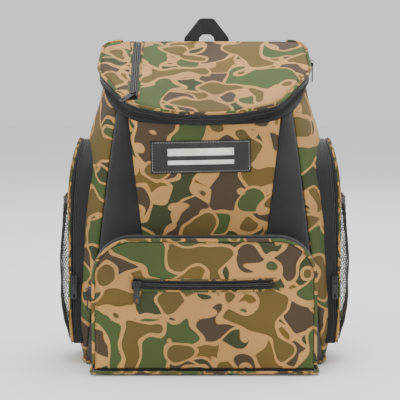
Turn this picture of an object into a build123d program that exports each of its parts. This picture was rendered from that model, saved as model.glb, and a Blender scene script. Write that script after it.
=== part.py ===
from build123d import *

import math
import os

# A soft tackle backpack: a foam-lined fabric shell with a sloping zip-round lid, a front pocket whose
# door folds down, two zip-round side pockets with mesh pockets on their doors, and a shoulder harness.
# Millimetres. +Z is up, the front faces -Y, and the origin is on the ground under the middle of the base.

# ---------------------------------------------------------------- driving dimensions
WALL = 5.0                  # fabric and foam wall of the main shell
LINING = 2.0                # sewn lining inside the wall
CLEARANCE = 0.5             # gap between pieces that move apart

BACK_Y = 86.0               # outer face of the back panel
BACK_RADIUS = 32.0
BACK_SEAM_Y = 70.0          # seam between the side panels and the back panel
BASE_HEIGHT = 4.0           # thickness of the bottom panel

# Main shell, section by section: height, half width, front face, front bulge, front corner radius.
SHELL_SECTIONS = [
    (0, 169, -80, 6, 62),
    (28, 175, -84, 7, 64),
    (150, 175, -85, 8, 68),
    (250, 170, -84, 9, 76),
    (318, 160, -82, 10, 88),
    (372, 144, -80, 12, 98),
    (462, 138, -78, 13, 98),
]

LID_SLOPE = 29.0            # degrees, falling towards the front
LID_REAR_Y = 80.5
LID_REAR_Z = 450.0
LID_LENGTH = 199.0          # along the slope
LID_SHOULDER = 149.0        # half width where the lid is widest
# The right half of the lid's outline before its corners are rounded: across, along, corner radius.
LID_CORNERS = [(145, 0, 24), (150, -85, 60), (104, -172, 50)]
LID_PANEL = 4.0             # thickness of the lid's outer panel
LID_ZIP_DEPTH = 10.0        # below the lid's top, where the zip parts
RIM_DEPTH = 20.0            # below the lid's top, where the shell ends
RIM_WIDTH = 12.0
PIPING_RADIUS = 2.2

ACCENT_INNER = (86.0, 0.1266)    # half width at the pocket's top edge, and its change with height
ACCENT_OUTER = (144.0, -0.128)
ACCENT_LEVEL = 187.0

POCKET_HALF_WIDTH = 150.0
POCKET_BOTTOM = 9.0
POCKET_TOP = 184.0
POCKET_RADIUS = 52.0
POCKET_FACE_Y = -124.0
POCKET_ZIP_Y = -102.0
POCKET_FLARE = 3.0               # how far the sewn gusset stands outside the door's outline
GUSSET = 4.0                     # thickness of a gusset wall
DOOR_PANEL = 4.0

PANEL_ZIP_Z = 125.0
PANEL_ZIP_LEFT = -99.0
PANEL_ZIP_RIGHT = 95.0
PANEL_ZIP_HEIGHT = 15.0

LID_ZIP_X = -97.0
LID_ZIP_REAR = -12.0             # along the slope
LID_ZIP_FRONT = -164.0
LID_ZIP_WIDTH = 12.0

SIDE_CENTRE_Y = 2.0
SIDE_HALF_WIDTH = 50.0
SIDE_BOTTOM = 31.0
SIDE_TOP = 312.0
SIDE_RADIUS = 46.0
# The side door's outer face and the zip line behind it: half width at each height.
SIDE_FACE = [(184, 20), (187.5, 60), (188, 130), (188, 200), (187, 250), (181.5, 288), (173, 320)]
SIDE_ZIP = [(177.6, 20), (179.6, 60), (180, 130), (179, 200), (176, 250), (171.5, 288), (164, 320)]
# The mesh pocket's outer face, which closes in to the door at the bottom.
MESH_FACE = [(187.6, 34), (196, 55), (202.5, 90), (204, 135), (201, 180), (196.5, 222), (195.8, 236)]
MESH_BOTTOM = 34.0
MESH_TOP = 234.0
MESH_HEM = 9.0
MESH_SHEET = 1.2
MESH_ELLIPSE = (56.0, 66.0)      # plan curve of the bulging mesh: half depth, half length

PATCH_CENTRE = (-5.0, 293.5)
PATCH_SIZE = (136.0, 44.0)
PATCH_TILT = 1.2
PATCH_THICKNESS = 2.5

HANDLE_X = 3.0
HANDLE_HALF_WIDTH = 36.0
HANDLE_WINDOW = 12.0
HANDLE_WEB = 24.5
HANDLE_FOOT_Z = 447.5
HANDLE_TOP = 482.5
HANDLE_Y = 87.4
HANDLE_THICKNESS = 3.4

PAD_THICKNESS = 12.0
# The shoulder pad's middle line from the side (y, z), and its inner and outer edges from the front (x, z).
PAD_SIDE = [(94, 424), (110, 396), (121, 335), (121, 260), (112, 180), (102, 126)]
PAD_INNER = [(24, 440), (27, 400), (44, 320), (62, 235), (74, 170), (82, 110)]
PAD_OUTER = [(84, 440), (88, 400), (106, 320), (122, 235), (124, 170), (118, 110)]
WEB_WIDTH = 25.0
WEB_THICKNESS = 1.6
WEB_X = 100.0                    # where the strap's webbing meets its buckle
ANCHOR_X = 142.0
ANCHOR_Z = 30.0
LOCK_Y = 100.0                   # middle of the buckle's thickness
LOCK_THICKNESS = 4.0
LOCK_BOTTOM = 86.0
LOCK_TOP = 124.0
LOCK_WIDTH = 34.0
LOCK_SLOTS = (93.0, 103.5, 114.5)
LOCK_SLOT_HEIGHT = 6.5

COIL_WIDTH = 5.0
COIL_HEIGHT = 2.4
SLIDER_LENGTH = 12.0
SLIDER_WIDTH = 9.0
SLIDER_HEIGHT = 4.4
PULL_WIDTH = 8.0
PULL_THICKNESS = 1.6
PULL_LENGTH = 29.0
PULL_BAR_RADIUS = 0.8
PULL_LIFT = 6.1                  # height of the pull's cross bar over the slider's base

slope = math.radians(LID_SLOPE)
lid_plane = Plane(
    origin=(0, LID_REAR_Y, LID_REAR_Z),
    x_dir=(1, 0, 0),
    z_dir=(0, -math.sin(slope), math.cos(slope)),
)


# ---------------------------------------------------------------- shared shapes
def slab(low, high):
    """A box from its lowest to its highest corner."""
    size = [h - l for l, h in zip(low, high)]
    middle = [(l + h) / 2 for l, h in zip(low, high)]
    return Pos(*middle) * Box(*size)


def one_side(shape, sign):
    """The part of a shape on the +X or -X side of the middle."""
    edge = sorted((0, sign * 400))
    return shape & slab((edge[0], -400, -50), (edge[1], 400, 700))


def mirrored(shape):
    return mirror(shape, about=Plane.YZ)


def shell_section(height, half_width, front, bulge, radius, inset):
    """One level plan section of the main shell: a bulged front, rounded corners and a flat back."""
    width = half_width - inset
    back = BACK_Y - inset
    face_y = front + inset
    shoulder = face_y + bulge
    outline = Wire([
        Line((-width, back), (width, back)).edge(),
        Line((width, back), (width, shoulder)).edge(),
        ThreePointArc((width, shoulder), (0, face_y), (-width, shoulder)).edge(),
        Line((-width, shoulder), (-width, back)).edge(),
    ])
    face = Face(outline)
    corners = face.vertices().group_by(Axis.Y)
    face = fillet(corners[0], radius - inset)
    face = fillet(face.vertices().group_by(Axis.Y)[-1], BACK_RADIUS - inset)
    return Pos(0, 0, height) * face


def shell_form(inset):
    """The solid inside the main shell's surface, moved in by inset."""
    return loft([shell_section(*section, inset) for section in SHELL_SECTIONS])


def lid_outline(inset):
    """The lid's outline in its own sloping plane, hinge edge on the local X axis."""
    right = [(x, y) for x, y, _ in LID_CORNERS]
    left = [(-x, y) for x, y in right]
    front = ThreePointArc(right[-1], (0, -LID_LENGTH), left[-1])
    sides = [Polyline(*right), Polyline(*left), Line(left[0], right[0])]
    outline = Face(Wire([front.edge()] + [edge for side in sides for edge in side.edges()]))
    for x, y, radius in LID_CORNERS:
        corners = [v for v in outline.vertices() if abs(abs(v.X) - x) < 0.1 and abs(v.Y - y) < 0.1]
        outline = fillet(corners, radius)
    if inset:
        outline = offset(outline, -inset)
    return outline


def lid_layer(inset, low, high):
    """A flat layer of the lid's outline between two depths below its top."""
    return extrude(lid_plane.offset(low) * lid_outline(inset), high - low, dir=lid_plane.z_dir)


def lid_ring(outer, width, low, high):
    return lid_layer(outer, low, high) - lid_layer(outer + width, low - 1, high + 1)


def before_back(shape, gap):
    """Trims a lid piece in front of the back panel."""
    return shape & slab((-300, -300, 0), (300, BACK_Y - WALL - gap, 700))


def arch(half_width, bottom, top, radius, inset=0.0, centre=0.0):
    """A door's outline: flat at the bottom, with two rounded top corners."""
    height = top - inset - bottom
    face = Pos(centre, bottom + height / 2) * Rectangle(2 * (half_width - inset), height)
    return fillet(face.vertices().group_by(Axis.Y)[-1], radius - inset)


def pocket_block(inset, front, back, bottom=POCKET_BOTTOM):
    """The front pocket's outline, extruded from front to back along Y."""
    outline = arch(POCKET_HALF_WIDTH, bottom, POCKET_TOP, POCKET_RADIUS, inset)
    return extrude(Plane.XZ.offset(-back) * outline, back - front)


def side_block(inset, bottom=SIDE_BOTTOM):
    """The right side pocket's outline, extruded outwards along X."""
    outline = arch(SIDE_HALF_WIDTH, bottom, SIDE_TOP, SIDE_RADIUS, inset, SIDE_CENTRE_Y)
    return extrude(Plane.YZ.offset(100) * outline, 130)


def inside_face(points, inset=0.0):
    """Everything inside a side profile, given as (half width, height) points, moved in by inset."""
    curve = Spline([(x - inset, z) for x, z in points])
    low, high = points[0][1], points[-1][1]
    outline = Wire([
        curve.edge(),
        Line((points[-1][0] - inset, high), (90, high)).edge(),
        Line((90, high), (90, low)).edge(),
        Line((90, low), (points[0][0] - inset, low)).edge(),
    ])
    return extrude(Plane.XZ.offset(-90) * Face(outline), 180, dir=(0, -1, 0))


def tube(path, radius):
    """A round cord along a path of runs and arcs."""
    return sweep(Plane(path @ 0, z_dir=path % 0) * Circle(radius), path)


def zip_slider(place, turn):
    """A slider on a coil: a channelled block with a bridge that points the way its pull hangs. Local X
    runs along the zip, local Z stands off the cloth, and local Z 0 is the cloth's face."""
    body = Pos(0, 0, SLIDER_HEIGHT / 2 + CLEARANCE) * Box(SLIDER_LENGTH, SLIDER_WIDTH, SLIDER_HEIGHT)
    body = chamfer(body.edges().filter_by(Axis.Z), 1.8)
    channel = Pos(0, 0, COIL_HEIGHT / 2) * Box(2 * SLIDER_LENGTH, COIL_WIDTH + 1.2, COIL_HEIGHT + 1.2)
    top = SLIDER_HEIGHT + CLEARANCE
    bridge = Pos(0, 0, top + 1.5) * Box(8.4, 2.0, 3.0)
    gap = Pos(0, 0, top + 1.2) * Box(5.6, 3.0, 2.4)
    return place * (body - channel + Rot(0, 0, turn) * (bridge - gap))


def zip_pull(place, turn):
    """A flat pull with a round cross bar through the slider's bridge, turned from the zip's line."""
    half = PULL_WIDTH / 2
    plate = Pos(PULL_LENGTH / 2 - 2, 0) * RectangleRounded(PULL_LENGTH, PULL_WIDTH, 2.4)
    window = Pos(1.6, 0) * RectangleRounded(6.4, PULL_WIDTH - 2.4, 0.6)
    grip = Pos(PULL_LENGTH - 7, 0) * SlotOverall(6, 2.6)
    flat = extrude(plate - window - grip, PULL_THICKNESS / 2, both=True)
    bar = Rot(90, 0, 0) * Cylinder(PULL_BAR_RADIUS, 2 * half - 1.0)
    behind = Pos(-3, 0, 0) * Box(4.4, 3 * half, 2 * PULL_THICKNESS)
    return place * Pos(0, 0, PULL_LIFT) * Rot(0, 0, turn) * (flat - behind + bar)


# ---------------------------------------------------------------- main shell
def build_shell():
    outer = shell_form(0)
    cavity = shell_form(WALL)
    lined = shell_form(WALL + LINING)
    above_rim = lid_plane * slab((-300, -400, -RIM_DEPTH), (300, 100, 300))
    above_rim = above_rim & slab((-300, -300, 0), (300, BACK_Y - WALL, 800))
    above_top = lid_plane * slab((-300, -400, 0), (300, 100, 300))
    walls = outer - cavity - above_rim - above_top - slab((-300, -200, -1), (300, 200, BASE_HEIGHT))
    base = outer & slab((-300, -200, 0), (300, 200, BASE_HEIGHT))

    def front_prism(line_a, line_b):
        """A region of the front between two seam lines that lean with height."""
        low, high = BASE_HEIGHT - 2, 400
        corners = []
        for (at_level, lean), z in ((line_a, low), (line_a, high), (line_b, high), (line_b, low)):
            corners.append((at_level + lean * (z - ACCENT_LEVEL), z))
        return extrude(Plane.XZ * make_face(Polyline(*corners, close=True)), 150)

    mirror_inner = (-ACCENT_INNER[0], -ACCENT_INNER[1])
    centre = front_prism(mirror_inner, ACCENT_INNER)
    accent = front_prism(ACCENT_INNER, ACCENT_OUTER)
    behind = slab((-300, BACK_SEAM_Y, 0), (300, 200, 700))
    sides = walls - centre - accent - mirrored(accent) - behind

    lining_floor = BASE_HEIGHT + LINING
    bucket = cavity & slab((-300, -200, BASE_HEIGHT), (300, 200, 700))
    hollow = lined & slab((-300, -200, lining_floor), (300, 200, 700))
    lining = bucket - hollow - lid_plane * slab((-300, -400, -RIM_DEPTH), (300, 100, 300))
    board = lined & slab((-300, -200, lining_floor), (300, 200, lining_floor + 3))

    return outer, {
        "front_panel": walls & centre,
        "accent_panel_right": walls & accent,
        "accent_panel_left": walls & mirrored(accent),
        "side_panel_right": one_side(sides, 1),
        "side_panel_left": one_side(sides, -1),
        "back_panel": walls & behind,
        "bottom_panel": base,
        "main_lining": lining,
        "base_board": board,
    }


def rim_band():
    """The lower half of the lid's zip gusset, sewn round the mouth of the shell."""
    band = lid_ring(1.5, RIM_WIDTH, -RIM_DEPTH, -LID_ZIP_DEPTH - CLEARANCE)
    return before_back(band, 0)


def base_piping(outer):
    """Piping round the foot of the front pocket and, as a second piece, round the foot of the shell."""
    side = POCKET_HALF_WIDTH + POCKET_FLARE + PIPING_RADIUS
    front = POCKET_FACE_Y + 2 - PIPING_RADIUS - 0.1
    level = POCKET_BOTTOM - 2 * CLEARANCE - GUSSET
    path = FilletPolyline((-side, -70, level), (-side, front, level), (side, front, level),
                          (side, -70, level), radius=4)
    cord = tube(path, PIPING_RADIUS) - outer
    grown = offset(shell_section(*SHELL_SECTIONS[0], 0), 4)
    ring = extrude(Pos(0, 0, 0.4) * grown, 3.8, dir=(0, 0, 1)) - outer
    ring = ring & slab((-300, -50, 0), (300, BACK_SEAM_Y, 20))
    return Compound([*cord.solids(), *ring.solids()])


def label_patch(outer):
    block = Rot(0, 0, PATCH_TILT) * RectangleRounded(*PATCH_SIZE, 1.5)
    block = extrude(Plane.XZ.offset(60) * Pos(*PATCH_CENTRE) * block, 60)
    skin = Pos(0, -PATCH_THICKNESS, 0) * outer
    return (block & skin) - outer


# ---------------------------------------------------------------- lid
def build_lid():
    panel = before_back(lid_layer(PIPING_RADIUS + 0.2, -LID_PANEL, 0), CLEARANCE)
    slot = lid_plane * slab(
        (LID_ZIP_X - LID_ZIP_WIDTH / 2, LID_ZIP_FRONT, -LID_PANEL - 1),
        (LID_ZIP_X + LID_ZIP_WIDTH / 2, LID_ZIP_REAR, 1),
    )
    tape = lid_plane * slab(
        (LID_ZIP_X - LID_ZIP_WIDTH / 2, LID_ZIP_FRONT, -LID_PANEL),
        (LID_ZIP_X + LID_ZIP_WIDTH / 2, LID_ZIP_REAR, -1.6),
    )
    coil = lid_plane * slab(
        (LID_ZIP_X - COIL_WIDTH / 2, LID_ZIP_FRONT + 2, -1.6),
        (LID_ZIP_X + COIL_WIDTH / 2, LID_ZIP_REAR - 2, -1.6 + COIL_HEIGHT),
    )
    skirt_low = -LID_ZIP_DEPTH + COIL_HEIGHT
    skirt = before_back(lid_ring(1.5, 5.0, skirt_low, -LID_PANEL), CLEARANCE)
    coil_ring = before_back(lid_ring(2.0, COIL_WIDTH, -LID_ZIP_DEPTH, skirt_low), CLEARANCE)
    padding = before_back(lid_layer(RIM_WIDTH + 4, -LID_ZIP_DEPTH - 4, -LID_PANEL), CLEARANCE + 1)
    rim = lid_outline(0).edges().sort_by(Axis.Y)[:-1]
    piping = before_back(tube(lid_plane.offset(-1.2) * Wire(rim), PIPING_RADIUS), CLEARANCE)
    return {
        "lid_panel": panel - slot,
        "lid_pocket_zip": Compound([*tape.solids(), *coil.solids()]),
        "lid_skirt": skirt,
        "lid_zip_coil": coil_ring,
        "lid_padding": padding,
        "lid_piping": piping,
    }


# ---------------------------------------------------------------- front pocket
def build_front_pocket(outer):
    wide = -POCKET_FLARE
    floor_top = POCKET_BOTTOM - CLEARANCE
    foot = floor_top - GUSSET
    inner_half = POCKET_HALF_WIDTH + POCKET_FLARE - GUSSET
    sewn = pocket_block(wide, POCKET_ZIP_Y + CLEARANCE, -20, foot)
    sewn = sewn - pocket_block(wide + GUSSET, -200, 0, foot - 1)
    floor = slab((-inner_half, POCKET_FACE_Y + 2, foot), (inner_half, -20, floor_top))
    skirt_back = POCKET_ZIP_Y - COIL_HEIGHT
    panel_back = POCKET_FACE_Y + DOOR_PANEL
    skirt = pocket_block(0.5, panel_back, skirt_back) - pocket_block(0.5 + GUSSET, -200, 0)
    coil = pocket_block(0.0, skirt_back, POCKET_ZIP_Y) - pocket_block(COIL_WIDTH, -200, 0)
    panel = pocket_block(PIPING_RADIUS + 0.2, POCKET_FACE_Y, panel_back)
    half_height = PANEL_ZIP_HEIGHT / 2
    slot = slab(
        (PANEL_ZIP_LEFT, POCKET_FACE_Y - 1, PANEL_ZIP_Z - half_height),
        (PANEL_ZIP_RIGHT, panel_back + 1, PANEL_ZIP_Z + half_height),
    )
    tape = slab(
        (PANEL_ZIP_LEFT, POCKET_FACE_Y + 1.6, PANEL_ZIP_Z - half_height),
        (PANEL_ZIP_RIGHT, panel_back, PANEL_ZIP_Z + half_height),
    )
    coil_strip = slab(
        (PANEL_ZIP_LEFT + 2, POCKET_FACE_Y + 1.6 - COIL_HEIGHT, PANEL_ZIP_Z - COIL_WIDTH / 2),
        (PANEL_ZIP_RIGHT - 2, POCKET_FACE_Y + 1.6, PANEL_ZIP_Z + COIL_WIDTH / 2),
    )
    side, top, low = POCKET_HALF_WIDTH, POCKET_TOP, POCKET_BOTTOM + 5
    path = FilletPolyline((-side, low), (-side, top), (side, top), (side, low), radius=POCKET_RADIUS)
    piping = tube(Plane.XZ.offset(-POCKET_FACE_Y - 1.2) * path, PIPING_RADIUS)
    return {
        "front_pocket_gusset": (sewn + floor) - outer,
        "front_door_gusset": skirt,
        "front_zip_coil": coil,
        "front_pocket_panel": panel - slot,
        "front_pocket_piping": piping,
        "panel_zip": Compound([*tape.solids(), *coil_strip.solids()]),
    }


# ---------------------------------------------------------------- side pockets
def build_side_pocket(outer):
    """The right side pocket. Its door turns down about its bottom edge."""
    block, hole = side_block(0), side_block(GUSSET)
    ring = block - hole
    off_shell = Pos(CLEARANCE + 0.5, 0, 0) * outer
    floor_top = SIDE_BOTTOM - CLEARANCE
    sewn = side_block(0, floor_top - GUSSET) - side_block(GUSSET, floor_top)
    floor = side_block(0, floor_top - GUSSET) & slab((120, -90, 0), (260, 90, floor_top))
    sewn = (sewn & inside_face(SIDE_ZIP, CLEARANCE)) + (floor & inside_face(SIDE_FACE, 2.5))
    sewn = sewn - outer
    zip_line = inside_face(SIDE_ZIP)
    coil_line = inside_face(SIDE_ZIP, -COIL_HEIGHT)
    face_line = inside_face(SIDE_FACE, DOOR_PANEL)
    coil = (side_block(-0.6) - side_block(COIL_WIDTH - 0.6)) & coil_line
    coil = coil - zip_line - off_shell
    skirt = (ring & face_line) - coil_line - off_shell
    panel = (side_block(PIPING_RADIUS) & inside_face(SIDE_FACE)) - face_line - off_shell
    trim = (side_block(-0.6) - side_block(PIPING_RADIUS)) & inside_face(SIDE_FACE, -1.0)
    trim = trim - face_line - off_shell

    def bulge(inset):
        """The space inside the mesh's bulging sheet."""
        half_depth, half_length = MESH_ELLIPSE
        plan = Ellipse(half_depth - inset, half_length - inset)
        column = extrude(Pos(MESH_FACE[3][0] - half_depth, SIDE_CENTRE_Y, 0) * plan, 300)
        return column & inside_face(MESH_FACE, inset)

    door = inside_face(SIDE_FACE, -0.1)
    reach = slab((150, -90, MESH_BOTTOM), (260, 90, MESH_TOP))
    within = side_block(PIPING_RADIUS + 0.6)
    sheet = ((bulge(0) - bulge(MESH_SHEET)) & reach & within) - door
    hem_zone = slab((150, -90, MESH_TOP - MESH_HEM), (260, 90, MESH_TOP))
    hem = ((bulge(-0.6) - bulge(MESH_SHEET + 0.8)) & hem_zone & within) - door
    return {
        "side_pocket_gusset": sewn,
        "side_zip_coil": coil,
        "side_door_gusset": skirt,
        "side_door_panel": panel,
        "side_door_piping": trim,
        "mesh_pocket": sheet - hem_zone,
        "mesh_hem": hem,
    }


# ---------------------------------------------------------------- harness
def band(points, width):
    """A thin strip of cloth or webbing seen from the side, as a face in (y, z)."""
    line = Spline(points)
    left, right = [], []
    for step in range(len(points) * 2 - 1):
        at = step / (len(points) * 2 - 2)
        spot, along = line @ at, line % at
        left.append((spot.X - along.Y * width / 2, spot.Y + along.X * width / 2))
        right.append((spot.X + along.Y * width / 2, spot.Y - along.X * width / 2))
    outline = Wire([
        Spline(left).edge(),
        Line(left[-1], right[-1]).edge(),
        Spline(right).edge(),
        Line(left[0], right[0]).edge(),
    ])
    return Face(outline)


def shoulder_pad():
    """The right shoulder pad: its side profile crossed with its outline from the front."""
    profile = extrude(Plane.YZ * band(PAD_SIDE, PAD_THICKNESS), 160, dir=(1, 0, 0))
    outline = Wire([
        Spline(PAD_INNER).edge(),
        Line(PAD_INNER[-1], PAD_OUTER[-1]).edge(),
        Spline(PAD_OUTER).edge(),
        Line(PAD_INNER[0], PAD_OUTER[0]).edge(),
    ])
    return profile & extrude(Plane.XZ.offset(-160) * Face(outline), 100, dir=(0, -1, 0))


def ladder_lock():
    """A buckle with three slots: the top one is sewn to the pad, the webbing runs through the others."""
    height = LOCK_TOP - LOCK_BOTTOM
    middle = (LOCK_TOP + LOCK_BOTTOM) / 2
    plate = RectangleRounded(LOCK_WIDTH, height, 3)
    for slot_z in LOCK_SLOTS:
        plate -= Pos(0, slot_z - middle) * Rectangle(WEB_WIDTH + 2, LOCK_SLOT_HEIGHT)
    place = Plane.XZ.offset(-LOCK_Y - LOCK_THICKNESS / 2) * Pos(WEB_X, middle)
    return extrude(place * plate, LOCK_THICKNESS)


def strip(points, radius, thickness):
    """A strip of webbing seen from the side, along a path of runs and rounded turns in (y, z)."""
    return trace(FilletPolyline(*points, radius=radius), thickness)


def lock_loop():
    """The webbing loop that holds the buckle's top bar to the pad."""
    gap = LOCK_THICKNESS / 2 + WEB_THICKNESS / 2 + 0.3
    near, far = LOCK_Y - gap, LOCK_Y + gap
    top, bottom = PAD_SIDE[-1][1] - 1.4, LOCK_SLOTS[2]
    face = strip([(near, top), (near, bottom), (far, bottom), (far, top)], 1.2, WEB_THICKNESS)
    return extrude(Plane.YZ.offset(WEB_X - WEB_WIDTH / 2) * face, WEB_WIDTH, dir=(1, 0, 0))


def strap_web():
    """The right lower webbing: up from its anchor, over the buckle's middle bar, and down as a free tail."""
    gap = LOCK_THICKNESS / 2 + WEB_THICKNESS / 2 + 0.4
    near, far = LOCK_Y - gap, LOCK_Y + gap
    joint = LOCK_BOTTOM - 6
    rise = [(BACK_Y + 4.2, ANCHOR_Z - 12), (BACK_Y + 6.5, 50), (near, joint + 0.5)]
    rise_face = strip(rise, 60, WEB_THICKNESS)
    turn = [(near, joint), (near, LOCK_SLOTS[1]), (far, LOCK_SLOTS[1]), (far, LOCK_BOTTOM - 4), (far + 3, 30)]
    turn_face = strip(turn, 1.3, WEB_THICKNESS)
    half = WEB_WIDTH / 2
    lean = make_face(Polyline(
        (ANCHOR_X - half, ANCHOR_Z - 20), (ANCHOR_X + half, ANCHOR_Z - 20), (ANCHOR_X + half, ANCHOR_Z),
        (WEB_X + half, joint + 0.2), (WEB_X - half, joint + 0.2), (ANCHOR_X - half, ANCHOR_Z - 4),
        close=True,
    ))
    leg = extrude(Plane.YZ * rise_face, 200, dir=(1, 0, 0))
    leg = leg & extrude(Plane.XZ.offset(-130) * lean, 60, dir=(0, -1, 0))
    loop = extrude(Plane.YZ.offset(WEB_X - half) * turn_face, WEB_WIDTH, dir=(1, 0, 0))
    return leg + loop


def anchor_tab():
    """The folded cloth triangle that holds the webbing's lower end."""
    tab = make_face(Polyline(
        (ANCHOR_X + 22, ANCHOR_Z - 22), (ANCHOR_X - 24, ANCHOR_Z - 22), (ANCHOR_X - 15, ANCHOR_Z + 14),
        (ANCHOR_X + 14, ANCHOR_Z + 14), close=True,
    ))
    return extrude(Plane.XZ.offset(-BACK_Y - 3) * tab, 3)


def build_harness():
    yoke = make_face(Polyline((-88, 380), (-88, 446), (88, 446), (88, 380), close=True))
    yoke = extrude(Plane.XZ.offset(-BACK_Y - 1.2) * yoke, 1.2)
    pads = []
    for low, high, half in ((60, 150, 62), (158, 250, 58), (258, 360, 50)):
        face = Pos(0, (low + high) / 2) * RectangleRounded(2 * half, high - low, 14)
        pads.append(extrude(Plane.XZ.offset(-BACK_Y - 9) * face, 9))
    top = HANDLE_TOP - HANDLE_WEB
    foot, half = HANDLE_FOOT_Z, HANDLE_HALF_WIDTH
    loop = make_face(Polyline(
        (-half, foot), (-half, 452), (-8, HANDLE_TOP), (8, HANDLE_TOP), (half, 452), (half, foot),
        (HANDLE_WINDOW, foot), (HANDLE_WINDOW, top), (-HANDLE_WINDOW, top), (-HANDLE_WINDOW, foot),
        close=True,
    ))
    loop = extrude(Plane.XZ.offset(-HANDLE_Y - HANDLE_THICKNESS) * Pos(HANDLE_X, 0) * loop, HANDLE_THICKNESS)
    return {
        "harness_yoke": yoke,
        "back_pads": Compound([solid for pad in pads for solid in pad.solids()]),
        "haul_handle": loop,
    }


# ---------------------------------------------------------------- zip sliders and pulls
def seat(origin, along, outward):
    """Where a slider sits: its point on the cloth, the zip's direction and the direction off the cloth."""
    return Plane(origin=origin, x_dir=along, z_dir=outward).location


def slider_places():
    """Each slider's place on the cloth, and how far its pull is turned from the zip's line."""
    on_lid = lid_plane.location
    lid_pocket = seat((LID_ZIP_X, LID_ZIP_FRONT + 9, -1.6), (0, -1, 0), (0, 0, 1))
    lid_side = seat((LID_SHOULDER - 1.5, -50, -LID_ZIP_DEPTH + COIL_HEIGHT / 2), (0, -1, 0), (1, 0, 0))
    panel = seat((PANEL_ZIP_LEFT + 8, POCKET_FACE_Y + 1.6, PANEL_ZIP_Z), (-1, 0, 0), (0, -1, 0))
    pocket_side = -POCKET_HALF_WIDTH - POCKET_FLARE
    pocket = seat((pocket_side, POCKET_ZIP_Y - COIL_HEIGHT / 2, 112), (0, 0, -1), (-1, 0, 0))
    side_y = SIDE_CENTRE_Y - SIDE_HALF_WIDTH - 0.6
    side = seat((SIDE_ZIP[2][0] + COIL_HEIGHT / 2, side_y, 120), (0, 0, -1), (0, -1, 0))
    return {
        "lid_pocket": (on_lid * lid_pocket, -38.0),
        "lid_zip": (on_lid * lid_side, 90.0 - LID_SLOPE),
        "panel_zip": (panel, 90.0),
        "front_zip": (pocket, 0.0),
        "side_zip_right": (side, 0.0),
    }


def build_sliders():
    made = {}
    for name, (place, turn) in slider_places().items():
        made[name + "_slider"] = zip_slider(place, turn)
        made[name + "_pull"] = zip_pull(place, turn)
    made["side_zip_left_slider"] = mirrored(made["side_zip_right_slider"])
    made["side_zip_left_pull"] = mirrored(made["side_zip_right_pull"])
    return made


# ---------------------------------------------------------------- assembly
def both_sides(name, right):
    return {name + "_right": right, name + "_left": mirrored(right)}


def main():
    outer, nodes = build_shell()
    nodes["rim_band"] = rim_band()
    nodes["base_piping"] = base_piping(outer)
    nodes["label_patch"] = label_patch(outer)
    nodes |= build_lid()
    nodes |= build_front_pocket(outer)
    side_pocket = build_side_pocket(outer)
    root_gusset = side_pocket.pop("side_pocket_gusset")
    nodes["side_pocket_gussets"] = Compound([*root_gusset.solids(), *mirrored(root_gusset).solids()])
    tab = anchor_tab()
    nodes["anchor_tabs"] = Compound([*tab.solids(), *mirrored(tab).solids()])
    for name, right in side_pocket.items():
        nodes |= both_sides(name, right)
    nodes |= build_harness()
    nodes |= both_sides("shoulder_pad", Compound([*shoulder_pad().solids(), *lock_loop().solids()]))
    nodes |= both_sides("ladder_lock", ladder_lock())
    nodes |= both_sides("strap_web", strap_web())
    nodes |= build_sliders()

    os.makedirs("parts", exist_ok=True)
    for name, shape in nodes.items():
        export_step(shape, f"parts/{name}.step")
    print(len(nodes), "nodes")


main()
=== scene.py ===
import math

import bmesh
import bpy
import numpy as np
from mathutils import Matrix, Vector


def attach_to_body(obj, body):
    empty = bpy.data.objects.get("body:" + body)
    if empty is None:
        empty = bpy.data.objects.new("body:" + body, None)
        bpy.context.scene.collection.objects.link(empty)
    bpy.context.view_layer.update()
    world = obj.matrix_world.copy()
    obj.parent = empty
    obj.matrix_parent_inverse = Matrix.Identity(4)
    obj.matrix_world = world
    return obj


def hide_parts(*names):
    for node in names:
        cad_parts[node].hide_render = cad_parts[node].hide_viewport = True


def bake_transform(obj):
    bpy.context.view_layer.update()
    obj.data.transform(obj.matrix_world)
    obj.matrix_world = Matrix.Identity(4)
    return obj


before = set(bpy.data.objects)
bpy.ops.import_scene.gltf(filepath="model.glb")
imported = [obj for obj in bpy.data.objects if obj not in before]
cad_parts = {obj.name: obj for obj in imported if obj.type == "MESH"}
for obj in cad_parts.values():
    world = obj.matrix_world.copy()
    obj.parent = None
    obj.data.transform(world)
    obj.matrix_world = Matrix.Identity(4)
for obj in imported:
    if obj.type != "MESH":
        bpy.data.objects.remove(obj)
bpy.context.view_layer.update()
MM = 0.001
SIDES = (("right", 1), ("left", -1))

# ---------------------------------------------------------------- sizes shared with the CAD model, mm
BACK_Y = 86.0
BACK_RADIUS = 32.0
BACK_SEAM_Y = 70.0
SHELL_SECTIONS = np.array([
    (0, 169, -80, 6, 62),
    (28, 175, -84, 7, 64),
    (150, 175, -85, 8, 68),
    (250, 170, -84, 9, 76),
    (318, 160, -82, 10, 88),
    (372, 144, -80, 12, 98),
    (462, 138, -78, 13, 98),
], float)
SLOPE = math.radians(29.0)
LID_ORIGIN = np.array((0.0, 80.5, 450.0))
LID_Y = np.array((0.0, math.cos(SLOPE), math.sin(SLOPE)))
LID_Z = np.array((0.0, -math.sin(SLOPE), math.cos(SLOPE)))
RIM_DEPTH = 20.0
LID_ZIP_X = -97.0
ACCENT_INNER = (86.0, 0.1266)
ACCENT_OUTER = (144.0, -0.128)
ACCENT_LEVEL = 187.0
POCKET_HALF = 150.0
POCKET_BOTTOM = 9.0
POCKET_TOP = 184.0
POCKET_RADIUS = 52.0
POCKET_FACE_Y = -124.0
PANEL_ZIP = (-99.0, 95.0, 125.0)
SIDE_CENTRE_Y = 2.0
SIDE_HALF = 50.0
SIDE_BOTTOM = 31.0
SIDE_TOP = 312.0
SIDE_RADIUS = 46.0
SIDE_FACE = [(184, 20), (187.5, 60), (188, 130), (188, 200), (187, 250), (181.5, 288), (173, 320)]
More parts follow.
